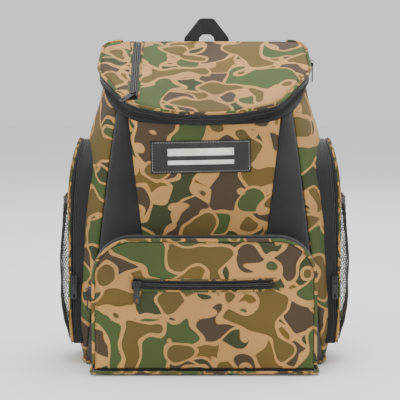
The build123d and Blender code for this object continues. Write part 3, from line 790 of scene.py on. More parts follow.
def build_lid():
    path, across, lift = lid_frame_vectors()
    closing = np.stack([np.linspace(-118, 118, 80)[1:-1], np.zeros(78)], axis=1)
    outline = np.concatenate([LID_EDGE - LID_OUT * 1.2, closing])
    rings = disc_rings(outline, np.array((0.0, -88.0)), 40)
    height = lid_surface(rings[..., 0], rings[..., 1])
    edge = smooth(0.965, 1.0, ring_shares(40))[:, None]
    height = height * (1 - edge) - 1.4 * edge
    points = lid_point(np.concatenate([rings, height[..., None]], axis=2))
    top = grid_object("lid_top", points, rings, camo_lid, 3.0, loop=True)
    attach(cap_disc(top), "lid", "camo_fabric", "lid_panel")
    made = cord_along("lid_edge_piping", path + lift * -1.1, across, lift, 2.2, camo_trim)
    attach(made, "lid", "camo_piping", "lid_piping")
    made = cord_along("lid_edge_cord", path + lift * -3.5, across, lift, 0.9, black_gusset, 8)
    attach(made, "lid", "black_fabric")
    skirt = [(-1.0, -3.0), (-0.8, -4.0), (-0.8, -5.6), (-1.0, -7.4), (-1.9, -7.9)]
    made = band("lid_skirt_cloth", path, across, lift, skirt, black_gusset, 1.4)
    attach(subdivide(made), "lid", "black_fabric", "lid_skirt")
    upper = [(-4.0, -7.9), (-1.4, -7.8), (-0.2, -8.2), (-0.2, -9.2), (-1.4, -9.7), (-4.0, -9.7)]
    made = band("lid_coil", path, across, lift, upper, coil)
    attach(cap_ends(made), "lid", "zip", "lid_zip_coil")
    lower = [(-4.0, -10.1), (-1.4, -10.2), (-0.1, -10.8), (-0.1, -11.9), (-1.4, -12.4), (-4.0, -12.4)]
    made = band("rim_coil", path, across, lift, lower, coil)
    attach(cap_ends(made), "pack", "zip")
    rim = [(-7.0, -11.2), (-2.6, -12.0), (-1.4, -12.9), (-1.0, -15.0), (-0.9, -17.6), (-1.1, -19.4),
           (-3.0, -20.6), (-7.0, -21.5), (-12.0, -21.0), (-12.0, -12.0)]
    made = band("rim_cloth", path, across, lift, rim, black_gusset, 1.2)
    attach(subdivide(made), "pack", "black_fabric", "rim_band")
    reach = np.zeros((len(path), 2))
    for k, spot in enumerate(path + lift * -20.8):
        outline = section(spot[2])[0]
        gap = np.min(np.linalg.norm(outline - (abs(spot[0]), spot[1]), axis=1))
        inside = abs(spot[0]) < shell_side_x(spot[1], spot[2])
        reach[k] = (gap + 0.5, -8.0) if inside else (-1.5, -gap - 5.0)
    shares = np.linspace(0, 1, 5)
    wide = reach[:, :1] + (reach[:, 1:] - reach[:, :1]) * shares
    points = path[:, None] + lift[:, None] * -20.3 + across[:, None] * wide[..., None]
    uvs = np.stack([np.repeat(lengths(path)[:, None], 5, 1), wide], axis=2)
    made = grid_object("rim_lip", points, uvs, black_gusset, 1.0, (0, 0, 600))
    attach(made, "pack", "black_fabric")
    made = cord_along("rim_seam", path + lift * -20.3 + across * -1.6, across, lift, 1.1, black_gusset, 8)
    attach(made, "pack", "black_fabric")
    for name, offset, depth, body in (
        ("lid_stitch", -0.75, -4.7, "lid"), ("rim_stitch", -0.9, -16.8, "pack")
    ):
        line = path + across * offset + lift * depth
        attach(stitches(name, line, across, thread_black, 2.6, 1.6), body, "black_webbing")
    build_lid_zip()
    build_lid_inside()


def cap_disc(made):
    """Closes the small hole left at the middle of nested rings."""
    shape = bmesh.new()
    shape.from_mesh(made.data)
    open_edges = [e for e in shape.edges if e.is_boundary]
    loops = sorted(open_edges, key=lambda e: e.calc_length())[: len(open_edges) // 2]
    bmesh.ops.holes_fill(shape, edges=loops, sides=0)
    for face in shape.faces:
        face.smooth = True
    shape.to_mesh(made.data)
    shape.free()
    return made


def strip_on(name, place, along_range, centre, profile, material, bow=None, thickness=0.0):
    """A straight strip on a local plane: place maps (along, across, out) to the world."""
    count = max(8, int(abs(along_range[1] - along_range[0]) / 3))
    along = np.linspace(*along_range, count)
    profile = np.asarray(profile, float)
    local = np.zeros((count, len(profile), 3))
    local[..., 0] = along[:, None]
    local[..., 1] = centre + profile[None, :, 0]
    local[..., 2] = profile[None, :, 1]
    if bow is not None:
        local[..., 1] += bow(along)[:, None]
    points = place(local)
    uvs = np.stack(np.meshgrid(along, lengths(profile), indexing="ij"), axis=2)
    return grid_object(name, points, uvs, material, thickness)


ZIP_TAPE_PROFILE = [(-6.6, -0.6), (-6.2, 0.3), (-5.0, 0.5), (-3.2, 0.35), (-2.8, 0.1), (2.8, 0.1),
                    (3.2, 0.35), (5.0, 0.5), (6.2, 0.3), (6.6, -0.6)]


def coil_profile(centre, half, height):
    return [(centre - half, 0.0), (centre - half * 0.9, height * 0.7), (centre - half * 0.4, height),
            (centre + half * 0.4, height), (centre + half * 0.9, height * 0.7), (centre + half, 0.0)]


def build_lid_zip():
    def place(local):
        uvw = np.stack([local[..., 1], local[..., 0], local[..., 2] - 1.5], axis=-1)
        return lid_point(uvw)

    run = (-163.5, -4.0)
    pieces = [strip_on("lid_pocket_tape", place, run, LID_ZIP_X, ZIP_TAPE_PROFILE, zip_tape)]
    made = attach(pieces[0], "lid", "zip", "lid_pocket_zip")
    for k, centre in enumerate((-1.35, 1.35)):
        made = strip_on(f"lid_pocket_coil_{k}", place, run, LID_ZIP_X, coil_profile(centre, 1.15, 1.7), coil)
        attach(made, "lid", "zip")
    for side, sign in SIDES:
        fold = [
            (sign * 5.6, -0.4), (sign * 5.9, 1.2), (sign * 6.8, 2.2), (sign * 8.6, 2.4),
            (sign * 10.6, 1.6)
        ]
        made = strip_on(
            f"lid_pocket_fold_{side}", place, (-165, -3), LID_ZIP_X, fold, camo_lid, thickness=0.6
        )
        attach(subdivide(made), "lid", "camo_fabric")
        along = np.linspace(-163, -5, 60)
        u = LID_ZIP_X + sign * 8.4
        line = lid_point(np.stack([np.full(60, u), along, np.full(60, 1.0)], axis=1))
        made = stitches(f"lid_pocket_stitch_{side}", line, np.tile(LID_Z, (60, 1)), thread_tan)
        attach(made, "lid", "black_webbing")


def build_lid_inside():
    """The lid's padded underside."""
    edge = LID_EDGE - LID_OUT * 15
    closing = np.stack([np.linspace(-104, 104, 60), np.full(60, -16.0)], axis=1)
    keep = edge[:, 1] < -17
    outline = np.concatenate([edge[keep], closing])
    rings = disc_rings(outline, np.array((0.0, -92.0)), 24)
    share = ring_shares(24)[:, None]
    depth = -5.0 - 7.0 * (1 - smooth(0.8, 1.0, share)) + ripple(rings[..., 0], rings[..., 1], 5, 60, 0.5)
    points = lid_point(np.concatenate([rings, (depth + 0 * rings[..., 0])[..., None]], axis=2))
    made = grid_object("lid_lining", points, rings, lining_cloth, 1.5, lid_point((0, -92, 60)), loop=True)
    attach(cap_disc(made), "lid", "padding", "lid_padding")


# ---------------------------------------------------------------- front pocket
def arch_path(half, bottom, top, radius, step=3.0):
    return rounded_path([(half, bottom), (half, top), (-half, top), (-half, bottom)], [radius, radius], step)


def out_of_arch(path, middle):
    along = tangents(path)
    out = np.stack([along[:, 1], -along[:, 0]], axis=1)
    if np.sum(out * (path - middle)) < 0:
        out = -out
    return out


def front_world(x, z, y):
    return np.stack([x, y + 0 * x, z], axis=-1)


def pocket_crown(x, z):
    inside = np.minimum(150 - np.abs(x), np.minimum(z - 9, 184 - z))
    swell = 2.1 * smooth(0, 60, inside) + 0.8 * smooth(0, 12, inside)
    swell = swell + ripple(x, z, 31, 80.0, 0.4) * smooth(3, 25, inside)
    bow = panel_zip_bow(x)
    near = np.abs(z - PANEL_ZIP[2] - bow)
    trench = smooth(9.5, 6.5, near) * smooth(-101, -97, x) * smooth(97, 93, x)
    return swell * (1 - trench) + (-1.4) * trench


def panel_zip_bow(x):
    return -2.4 * (1 - ((x + 2) / 97) ** 2) * (np.abs(x + 2) < 97)


def build_front_pocket():
    path = arch_path(POCKET_HALF, POCKET_BOTTOM, POCKET_TOP, POCKET_RADIUS)
    out = out_of_arch(path, np.array((0, 90.0)))
    count = len(path)
    line = front_world(path[:, 0], path[:, 1], 0.0)
    across = np.stack([out[:, 0], np.zeros(count), out[:, 1]], axis=1)
    front = np.tile((0.0, -1.0, 0.0), (count, 1))

    def forward(y):
        return line + np.array((0, y, 0))

    inner = path - out * 2.0
    closing = np.stack([np.linspace(-148, 148, 90)[1:-1], np.full(88, POCKET_BOTTOM + 0.6)], axis=1)
    outline = np.concatenate([inner, closing])
    rings = disc_rings(outline, np.array((0.0, 92.0)), 46)
    crown = pocket_crown(rings[..., 0], rings[..., 1])
    edge = smooth(0.97, 1.0, ring_shares(46))[:, None]
    crown = crown * (1 - edge) - 1.0 * edge
    points = front_world(rings[..., 0], rings[..., 1], POCKET_FACE_Y - crown)
    made = grid_object("front_pocket_face", points, rings, camo_pocket, 3.0, loop=True)
    attach(cap_disc(made), "front_door", "camo_fabric", "front_pocket_panel")
    free = path[:, 1] > POCKET_BOTTOM + 5
    cord_line = forward(POCKET_FACE_Y + 1.2)[free]
    made = cord_along("front_pocket_cord", cord_line, across[free], front[free], 2.2, camo_trim)
    attach(made, "front_door", "camo_piping", "front_pocket_piping")
    made = cord_along(
        "front_pocket_seam", forward(POCKET_FACE_Y + 3.9) + across * 0.5, across, front, 0.9,
        black_gusset, 8
    )
    attach(made, "front_door", "black_fabric")
    wall = [(-1.0, 120.4), (0.6, 119.4), (1.2, 114.0), (1.0, 109.0), (0.4, 106.4), (-2.2, 105.6)]
    made = band("front_door_wall", line, across, front, wall, black_gusset, 1.8, (0, -110, 90))
    attach(subdivide(made), "front_door", "black_fabric", "front_door_gusset")
    for name, low, body, nodes in (("front_coil_door", 103.3, "front_door", ("front_zip_coil",)),
                                   ("front_coil_root", 100.9, "pack", ())):
        profile = [
            (-4.0, low), (-1.2, low), (0.3, low + 0.5), (0.3, low + 1.6), (-1.2, low + 2.1),
            (-4.0, low + 2.1)
        ]
        made = band(name, line, across, front, profile, coil)
        attach(cap_ends(made), body, "zip", *nodes)
    flare = 3.2
    back = np.array([shell_front_y(p[0], min(max(p[1], 2), 300)) for p in path + out * flare]) + 3.0
    shares = np.array((0.0, 0.06, 0.2, 0.4, 0.6, 0.8, 1.0))
    rise = np.array((-3.4, -0.6, 0.6, 0.4, 0.0, 0.2, 0.4))
    points = np.zeros((count, len(shares), 3))
    for j, (share, lifted) in enumerate(zip(shares, rise)):
        y = -100.6 + (back + 100.6) * share
        points[:, j, 0] = path[:, 0] + out[:, 0] * (2.6 + lifted)
        points[:, j, 2] = path[:, 1] + out[:, 1] * (2.6 + lifted)
        points[:, j, 1] = y
    uvs = np.stack([np.repeat(lengths(path)[:, None], len(shares), 1), points[..., 1]], axis=2)
    made = grid_object("front_pocket_wall", points, uvs, black_gusset, 2.2, (0, -100, 90))
    attach(subdivide(made), "pack", "black_fabric", "front_pocket_gusset")
    floor_x = np.linspace(-149, 149, 80)
    rows = []
    for t in np.linspace(0, 1, 12):
        rear = np.array([shell_front_y(x, 6) + 3 for x in floor_x])
        rows.append(front_world(floor_x, np.full(80, 6.6), -122.2 + (rear + 122.2) * t))
    points = np.stack(rows)
    made = grid_object("front_pocket_floor", points, points[..., :2], black_cloth, 2.0, (0, -110, 100))
    attach(made, "pack", "black_fabric")
    line_y = POCKET_FACE_Y - 0.6
    trace = front_world(inner[:, 0] - out[:, 0] * 3.0, inner[:, 1] - out[:, 1] * 3.0, line_y)
    attach(
        stitches("front_pocket_stitch", trace[free], front[free], thread_tan, 2.4, 1.6, 0.3),
        "front_door", "black_webbing"
    )
    build_panel_zip()
    build_base_cord()


def build_panel_zip():
    def place(local):
        return np.stack([local[..., 0], POCKET_FACE_Y + 1.5 - local[..., 2], local[..., 1]], axis=-1)

    start, end, level = PANEL_ZIP
    tape = [(a * 1.12, b) for a, b in ZIP_TAPE_PROFILE]
    made = strip_on("panel_zip_tape", place, (start, end), level, tape, zip_tape, panel_zip_bow)
    attach(made, "front_door", "zip", "panel_zip")
    for k, centre in enumerate((-1.35, 1.35)):
        profile = coil_profile(centre, 1.15, 1.7)
        made = strip_on(
            f"panel_zip_coil_{k}", place, (start + 1, end - 1), level, profile, coil, panel_zip_bow
        )
        attach(made, "front_door", "zip")
    for name, sign in (("top", 1), ("bottom", -1)):
        fold = [
            (sign * 6.4, -0.4), (sign * 6.6, 1.6), (sign * 7.6, 2.9), (sign * 9.2, 3.5),
            (sign * 11.5, 3.1)
        ]
        made = strip_on(
            f"panel_zip_fold_{name}", place, (start - 2, end + 2), level, fold, camo_pocket,
            panel_zip_bow, 0.6
        )
        attach(subdivide(made), "front_door", "camo_fabric")
        x = np.linspace(start - 3, end + 3, 70)
        z = level + panel_zip_bow(x) + sign * 9.0
        y = POCKET_FACE_Y - pocket_crown(x, z) - 0.4
        y = np.minimum(y, POCKET_FACE_Y - 2.9)
        line = np.stack([x, y, z], axis=1)
        made = stitches(f"panel_zip_stitch_{name}", line, np.tile((0, -1.0, 0), (70, 1)), thread_black)
        attach(made, "front_door", "black_webbing")


def build_base_cord():
    front = POCKET_FACE_Y + 2 - 2.3
    path = rounded_path([(-154, -66), (-154, front), (154, front), (154, -66)], [6, 6], 3.0)
    out = out_of_arch(path, np.array((0, -60.0)))
    count = len(path)
    line = np.stack([path[:, 0], path[:, 1], np.full(count, 4.0)], axis=1)
    across = np.stack([out[:, 0], out[:, 1], np.zeros(count)], axis=1)
    made = cord_along("base_cord", line, across, np.tile((0, 0, 1.0), (count, 1)), 2.2, camo_trim)
    attach(made, "pack", "camo_piping", "base_piping")
    outline = section(3.0)[0]
    keep = (outline[:, 1] > -52) & (outline[:, 1] < BACK_SEAM_Y)
    for side, sign in SIDES:
        half = resample(outline[keep], 3.0)
        path = half * (sign, 1)
        out = out_of_arch(path, np.array((0, 0.0)))
        line = np.stack(
            [path[:, 0] + out[:, 0] * 1.2, path[:, 1] + out[:, 1] * 1.2, np.full(len(path), 3.4)],
            axis=1
        )
        across = np.stack([out[:, 0], out[:, 1], np.zeros(len(path))], axis=1)
        made = cord_along(
            f"foot_cord_{side}", line, across, np.tile((0, 0, 1.0), (len(path), 1)), 2.2, camo_trim
        )
        attach(made, "pack", "camo_piping")


# ---------------------------------------------------------------- side pockets
def side_face_x(z):
    return curve_value(SIDE_FACE, z)


def side_zip_x(z):
    return curve_value(SIDE_ZIP, z)


def mesh_x(y, z):
    plan = 148.0 + 56.0 * np.sqrt(np.maximum(0, 1 - ((y - SIDE_CENTRE_Y) / 66.0) ** 2))
    return np.minimum(curve_value(MESH_FACE, z), plan)


def build_side(side, sign):
    path = arch_path(SIDE_HALF, SIDE_BOTTOM, SIDE_TOP - 0, SIDE_RADIUS) + (SIDE_CENTRE_Y, 0)
    out = out_of_arch(path, np.array((SIDE_CENTRE_Y, 150.0)))
    count = len(path)
    y, z = path[:, 0], path[:, 1]
    door = f"side_door_{side}"

    def layer(name, profile, material, thickness=0.0):
        """profile is (distance out of the outline, function of height giving x)."""
        points = np.zeros((count, len(profile), 3))
        for j, (distance, x) in enumerate(profile):
            yy, zz = y + out[:, 0] * distance, z + out[:, 1] * distance
            points[:, j] = np.stack([x(zz) if callable(x) else np.full(count, x), yy, zz], axis=1)
        around = np.concatenate(([0], np.cumsum(np.linalg.norm(np.diff(points[10], axis=0), axis=1))))
        uvs = np.stack(np.meshgrid(lengths(path), around, indexing="ij"), axis=2)
        if sign < 0:
            points = mirror_x(points)
        return grid_object(
            f"{name}_{side}", points, uvs, material, thickness, (sign * 180, SIDE_CENTRE_Y, 165)
        )

    def zip_plus(step):
        return lambda h: side_zip_x(h) + step

    def face_plus(step):
        return lambda h: side_face_x(h) + step

    root_x = lambda h: np.array(
        [shell_side_x(min(max(yy, -60), 60), float(hh)) for yy, hh in zip(y, np.clip(h, 5, 330))]
    ) - 4.0
    wall = [
        (0.2, root_x), (0.9, zip_plus(-5.5)), (1.1, zip_plus(-3.0)), (0.5, zip_plus(-1.2)),
        (-2.6, zip_plus(-0.6))
    ]
    made = layer("side_pocket_wall", wall, black_gusset, 1.6)
    attach(subdivide(made), "pack", "black_fabric")
    for name, low, body, nodes in (
        ("side_coil_root", -1.0, "pack", ()), ("side_coil_door", 1.2, door, (f"side_zip_coil_{side}",))
    ):
        profile = [(-3.6, zip_plus(low)), (-1.0, zip_plus(low)), (0.5, zip_plus(low + 0.4)),
                   (0.5, zip_plus(low + 1.5)), (-1.0, zip_plus(low + 1.9)), (-3.6, zip_plus(low + 1.9))]
        attach(cap_ends(layer(name, profile, coil)), body, "zip", *nodes)
    wall = [(-2.4, zip_plus(3.3)), (0.5, zip_plus(3.6)),
            (1.0, lambda h: (side_zip_x(h) + side_face_x(h)) / 2 + 1.4),
            (0.6, face_plus(-2.2)), (-1.0, face_plus(-1.6))]
    made = layer("side_door_wall", wall, black_gusset, 1.4)
    attach(subdivide(made), door, "black_fabric", f"side_door_gusset_{side}")
    line = np.stack([side_face_x(z) - 0.8, y, z], axis=1)
    across = np.stack([np.zeros(count), out[:, 0], out[:, 1]], axis=1)
    lift = np.tile((1.0, 0, 0), (count, 1))
    if sign < 0:
        line, lift = mirror_x(line), -lift
    made = cord_along(f"side_cord_{side}", line, across, lift, 2.2, camo_trim)
    attach(made, door, "camo_piping", f"side_door_piping_{side}")
    material = camo_right if sign > 0 else camo_left
    closing = np.stack([np.linspace(-46, 50, 34)[1:-1], np.full(32, SIDE_BOTTOM + 0.4)], axis=1)
    outline = np.concatenate([path - out * 1.8, closing])
    rings = disc_rings(outline, np.array((SIDE_CENTRE_Y, 165.0)), 40)
    inside = np.minimum(
        50 - np.abs(rings[..., 0] - SIDE_CENTRE_Y), np.minimum(rings[..., 1] - 31, 312 - rings[..., 1])
    )
    x = side_face_x(rings[..., 1]) + 1.6 * smooth(0, 20, inside) + ripple(
        rings[..., 0], rings[..., 1], 41, 60, 0.5
    ) * smooth(2, 20, inside)
    points = np.stack([sign * (x - 0.6), rings[..., 0], rings[..., 1]], axis=2)
    made = grid_object(f"side_door_face_{side}", points, rings, material, 2.6, loop=True)
    attach(cap_disc(made), door, "camo_fabric", f"side_door_panel_{side}")
    floor = []
    for t in np.linspace(0, 1, 8):
        ys = np.linspace(SIDE_CENTRE_Y - 49, SIDE_CENTRE_Y + 49, 30)
        near = np.array([shell_side_x(yy, 28) - 4 for yy in ys])
        floor.append(np.stack([near + (182.6 - near) * t, ys, np.full(30, 29.6)], axis=1))
    points = np.stack(floor) * (sign, 1, 1)
    made = grid_object(
        f"side_pocket_floor_{side}", points, points[..., :2], black_cloth, 2.0,
        (sign * 180, SIDE_CENTRE_Y, 165)
    )
    attach(made, "pack", "black_fabric")
    build_mesh(side, sign, door)


def build_mesh(side, sign, door):
    """A diamond net over the mesh pocket, each strand real, with a bound hem."""
    cell_y, cell_z = 3.1, 3.6
    ys = np.arange(SIDE_CENTRE_Y - 46.5, SIDE_CENTRE_Y + 46.6, cell_y)
    zs = np.arange(MESH_BOTTOM, 226.5, cell_z)
    points, faces, index = [], [], {}
    for i, yy in enumerate(ys):
        for j, zz in enumerate(zs):
            if (i + j) % 2:
                continue
            index[i, j] = len(points)
            x = float(mesh_x(yy, zz)) + float(ripple(yy, zz, 51, 45, 0.8))
            points.append((sign * max(x, float(side_face_x(zz)) + 1.0), yy, zz))
    for i in range(len(ys)):
        for j in range(len(zs)):
            corners = [(i - 1, j), (i, j - 1), (i + 1, j), (i, j + 1)]
            if (i + j) % 2 and all(c in index for c in corners):
                faces.append(tuple(index[c] for c in corners))
    points = np.array(points)
    made = make_object(f"mesh_net_{side}", points, faces, points[:, [1, 2]], mesh_yarn)
    net = made.modifiers.new("strands", "WIREFRAME")
    net.thickness = 0.9 * MM
    net.use_even_offset = False
    net_cloth = attach(made, door, "mesh", f"mesh_pocket_{side}")
    ys = np.linspace(SIDE_CENTRE_Y - 47, SIDE_CENTRE_Y + 47, 60)
    zc = 229.5
    xs = np.maximum(mesh_x(ys, np.full(60, zc)), side_face_x(zc) + 1.0) + ripple(ys, ys * 0, 52, 40, 0.5)
    line = np.stack([xs, ys, np.full(60, zc)], axis=1)
    along = tangents(line)
    across = np.stack([along[:, 1], -along[:, 0], np.zeros(60)], axis=1)
    across *= np.sign(across[:, :1])
    lift = np.tile((0, 0, 1.0), (60, 1))
    if sign < 0:
        line, across = mirror_x(line), mirror_x(across)
    profile = [
        (0.9, -4.5), (1.3, -2.0), (1.3, 2.0), (0.9, 4.5), (-0.6, 4.8), (-1.4, 2.0), (-1.4, -2.0),
        (-0.6, -4.8), (0.9, -4.5)
    ]
    made = band(f"mesh_binding_{side}", line, across, lift, profile, black_webbing)
    attach(subdivide(cap_ends(made)), door, "black_webbing", f"mesh_hem_{side}")
    for k, height in enumerate((-3.0, 3.0)):
        attach(
            stitches(
                f"mesh_hem_stitch_{k}_{side}", line + across * 1.25 + (0, 0, height), across,
                thread_black
            ),
            door, "black_webbing"
        )


def replace_side_gussets():
    """The two sewn gussets share one CAD node, which is hidden here; the side pocket walls built for each
    side show the gussets.
    """
    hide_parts("side_pocket_gussets")


# ---------------------------------------------------------------- label, handle and harness
def build_label():
    x0, z0, width, height = PATCH
    tilt = math.radians(1.2)
    nx, nz = 56, 22
    xs, zs = np.meshgrid(np.linspace(-1, 1, nx), np.linspace(-1, 1, nz), indexing="ij")
    local_x, local_z = xs * width / 2, zs * height / 2
    edge = np.minimum(width / 2 - np.abs(local_x), height / 2 - np.abs(local_z))
    raised = 1.0 + 1.6 * smooth(0, 1.2, edge) + 0.5 * smooth(4.2, 3.4, edge)

    def place(lx, lz, out):
        wx = x0 + lx * math.cos(tilt) - lz * math.sin(tilt)
        wz = z0 + lx * math.sin(tilt) + lz * math.cos(tilt)
        y = np.array([shell_front_y(a, b) for a, b in zip(np.ravel(wx), np.ravel(wz))]).reshape(np.shape(wx))
        return np.stack([wx, y - 1.0 - out, wz], axis=-1)

    points = place(local_x, local_z, raised)
    uvs = np.stack([local_x, local_z], axis=2)
    made = grid_object("label", points, uvs, rubber, 2.0)
    attach(made, "pack", "patch", "label_patch")
    border = rounded_path([(-width / 2 + 2.2, 0), (-width / 2 + 2.2, height / 2 - 2.2),
                           (width / 2 - 2.2, height / 2 - 2.2),
                           (width / 2 - 2.2, -height / 2 + 2.2), (
                               -width / 2 + 2.2, -height / 2 + 2.2
                           ), (-width / 2 + 2.2, -0.01)],
                          [1, 1, 1, 1], 2.0)
    line = place(border[:, 0], border[:, 1], np.full(len(border), 2.9))
    attach(
        stitches("label_stitch", line, np.tile((0, -1.0, 0), (len(line), 1)), thread_pale, 2.2, 1.5, 0.32),
        "pack", "patch"
    )
    shapes = [
        ("label_bar_top", [(-46, 1.5), (46, 1.5), (46, 11.5), (-46, 11.5)]),
        ("label_bar_bottom", [(-46, -10.5), (46, -10.5), (46, -4.5), (-46, -4.5)]),
    ]
    for name, corners in shapes:
        corners = np.array(corners, float)
        dense = resample(np.concatenate([corners, corners[:1]]), 2.0)[:-1]
        centre = dense.mean(axis=0)
        rings = disc_rings(dense, centre, 8)
        lift = ring_shares(8)[:, None]
        out = 2.5 + 0.6 * (1 - smooth(0.9, 1.0, lift)) + 0 * rings[..., 0]
        points = place(rings[..., 0], rings[..., 1], out)
        made = grid_object(name, points, rings, rubber_pale, 0.4, loop=True)
        attach(cap_disc(made), "pack", "patch")


def flat_strip(name, path, width_direction, width, thickness, material):
    """Webbing along a path: rounded edges, real thickness."""
    path = np.asarray(path, float)
    wide = np.asarray(width_direction, float)
    wide = wide / np.linalg.norm(wide, axis=1, keepdims=True)
    normal = np.cross(tangents(path), wide)
    normal /= np.linalg.norm(normal, axis=1, keepdims=True)
    h, t = width / 2, thickness / 2
    profile = [
        (-h, 0), (-h + t, t), (-h * 0.5, t), (0, t), (h * 0.5, t), (h - t, t), (h, 0), (h - t, -t),
        (0, -t), (-h + t, -t), (-h, 0)
    ]
    points = sweep_profile(path, wide, normal, profile)
    along = lengths(path)
    profile = np.array(profile)
    uvs = np.stack(np.meshgrid(along, profile[:, 0], indexing="ij"), axis=2)[..., ::-1]
    return cap_ends(grid_object(name, points, uvs, material))


def build_handle():
    """Webbing folded over at a mitred top, with a window below."""
    outer = rounded_path(
        [(-33, 448), (-32, 454), (-10, 482), (10, 482), (32, 454), (33, 448)], [5, 7, 7, 5], 1.0
    )
    inner = rounded_path(
        [(-11.5, 448), (-10.5, 454), (-6, 458.5), (6, 458.5), (10.5, 454), (11.5, 448)], [3, 3, 3, 3],
        0.5
    )
    at = np.linspace(0, 1, 90)
    outer, inner = (np.stack([np.interp(at, lengths(e) / lengths(e)[-1], e[:, k]) for k in (0, 1)], axis=1)
                    for e in (outer, inner))
    shares = np.linspace(0, 1, 13)[None, :, None]
    flat = inner[:, None] + (outer - inner)[:, None] * shares
    fold = 0.7 * smooth(-0.6, 0.6, flat[..., 0]) + 0.35 * np.sin(np.pi * shares[..., 0])
    points = np.stack([3.0 + flat[..., 0], 88.0 + fold, flat[..., 1]], axis=2)
    uvs = np.stack([np.repeat(24 * shares[..., 0], 90, 0), np.repeat(lengths(outer)[:, None], 13, 1)], axis=2)
    made = grid_object("handle_web", points, uvs, black_webbing, 2.0, (0, 300, 465))
    attach(made, "handle", "black_webbing", "haul_handle")
    for name, column in (("outer", 11), ("inner", 1)):
        for face, sign in (("front", -1.0), ("rear", 1.0)):
            line = points[2:-2, column] + (0, 0.05 if sign < 0 else 2.0, 0)
            out = np.tile((0, sign, 0), (len(line), 1))
            attach(
                stitches(f"handle_stitch_{name}_{face}", line, out, thread_black, 2.0, 1.4), "handle",
                "black_webbing"
            )


def pad_mesh(side, sign):
    heights = np.linspace(424, 124, 56)
    side_points = sorted(PAD_SIDE, key=lambda p: p[1])
    inner = sorted(PAD_INNER, key=lambda p: p[1])
    outer = sorted(PAD_OUTER, key=lambda p: p[1])
    y = curve_value(side_points, heights)
    left, right = curve_value(inner, heights), curve_value(outer, heights)
    along = tangents(np.stack([y, heights], axis=1))
    normal = np.stack([-along[:, 1], along[:, 0]], axis=1)
    normal *= np.sign(normal[:, :1])
    angles = np.linspace(0, 2 * math.pi, 33)[:-1]
    ring_x = np.sign(np.cos(angles)) * np.abs(np.cos(angles)) ** 0.5
    ring_y = np.sign(np.sin(angles)) * np.abs(np.sin(angles)) ** 0.6
    width = (right - left) / 2 * (1 - 0.25 * smooth(150, 122, heights))
    middle = (left + right) / 2
    points = np.zeros((56, 32, 3))
    points[..., 0] = sign * (middle[:, None] + ring_x * width[:, None])
    offset = ring_y * 4.2
    points[..., 1] = y[:, None] + offset * normal[:, :1]
    points[..., 2] = heights[:, None] + offset * normal[:, 1:]
    faces = grid_faces(56, 32, True)
    made = make_object(
        f"strap_pad_{side}", points.reshape(-1, 3), faces, points[..., [0, 2]].reshape(-1, 2), back_mesh
    )
    return cap_ends(made), points


def puff(made, voxel, pressure, cap):
    """Swells a closed mesh as padded cloth does, then sets the cloth coordinates again."""
    remesh = made.modifiers.new("remesh", "REMESH")
    remesh.mode = "VOXEL"
    remesh.voxel_size = voxel * MM
    remesh.use_smooth_shade = True
    depsgraph = bpy.context.evaluated_depsgraph_get()
    material = made.data.materials[0]
    final = bpy.data.meshes.new_from_object(made.evaluated_get(depsgraph))
    made.modifiers.clear()
    made.data = final
    count = len(final.vertices)
    before = np.zeros(count * 3)
    final.vertices.foreach_get("co", before)
    cloth = made.modifiers.new("cloth", "CLOTH")
    cloth.settings.use_pressure = True
    cloth.settings.uniform_pressure_force = pressure
    cloth.settings.effector_weights.gravity = 0
    cloth.settings.quality = 4
    cloth.settings.tension_stiffness = 30
    cloth.settings.compression_stiffness = 30
    cloth.point_cache.frame_start = 1
    cloth.point_cache.frame_end = 20
    scene = bpy.context.scene
    for number in range(1, 21):
        scene.frame_set(number)
    depsgraph = bpy.context.evaluated_depsgraph_get()
    shaped = bpy.data.meshes.new_from_object(made.evaluated_get(depsgraph))
    after = np.zeros(count * 3)
    shaped.vertices.foreach_get("co", after)
    made.modifiers.clear()
    move = (after - before).reshape(-1, 3)
    size = np.linalg.norm(move, axis=1, keepdims=True)
    move = move * np.minimum(1, cap * MM / np.maximum(size, 1e-9))
    final.vertices.foreach_set("co", (before.reshape(-1, 3) + move).ravel())
    scene.frame_set(1)
    spots = np.zeros(count * 3)
    final.vertices.foreach_get("co", spots)
    spots = spots.reshape(-1, 3)
    layer = final.uv_layers.get("cloth") or final.uv_layers.new(name="cloth")
    loops = np.zeros(len(final.loops), int)
    final.loops.foreach_get("vertex_index", loops)
    layer.data.foreach_set("uv", spots[loops][:, [0, 2]].ravel())
    final.materials.clear()
    final.materials.append(material)
    final.polygons.foreach_set("use_smooth", [True] * len(final.polygons))
    return subdivide(made)


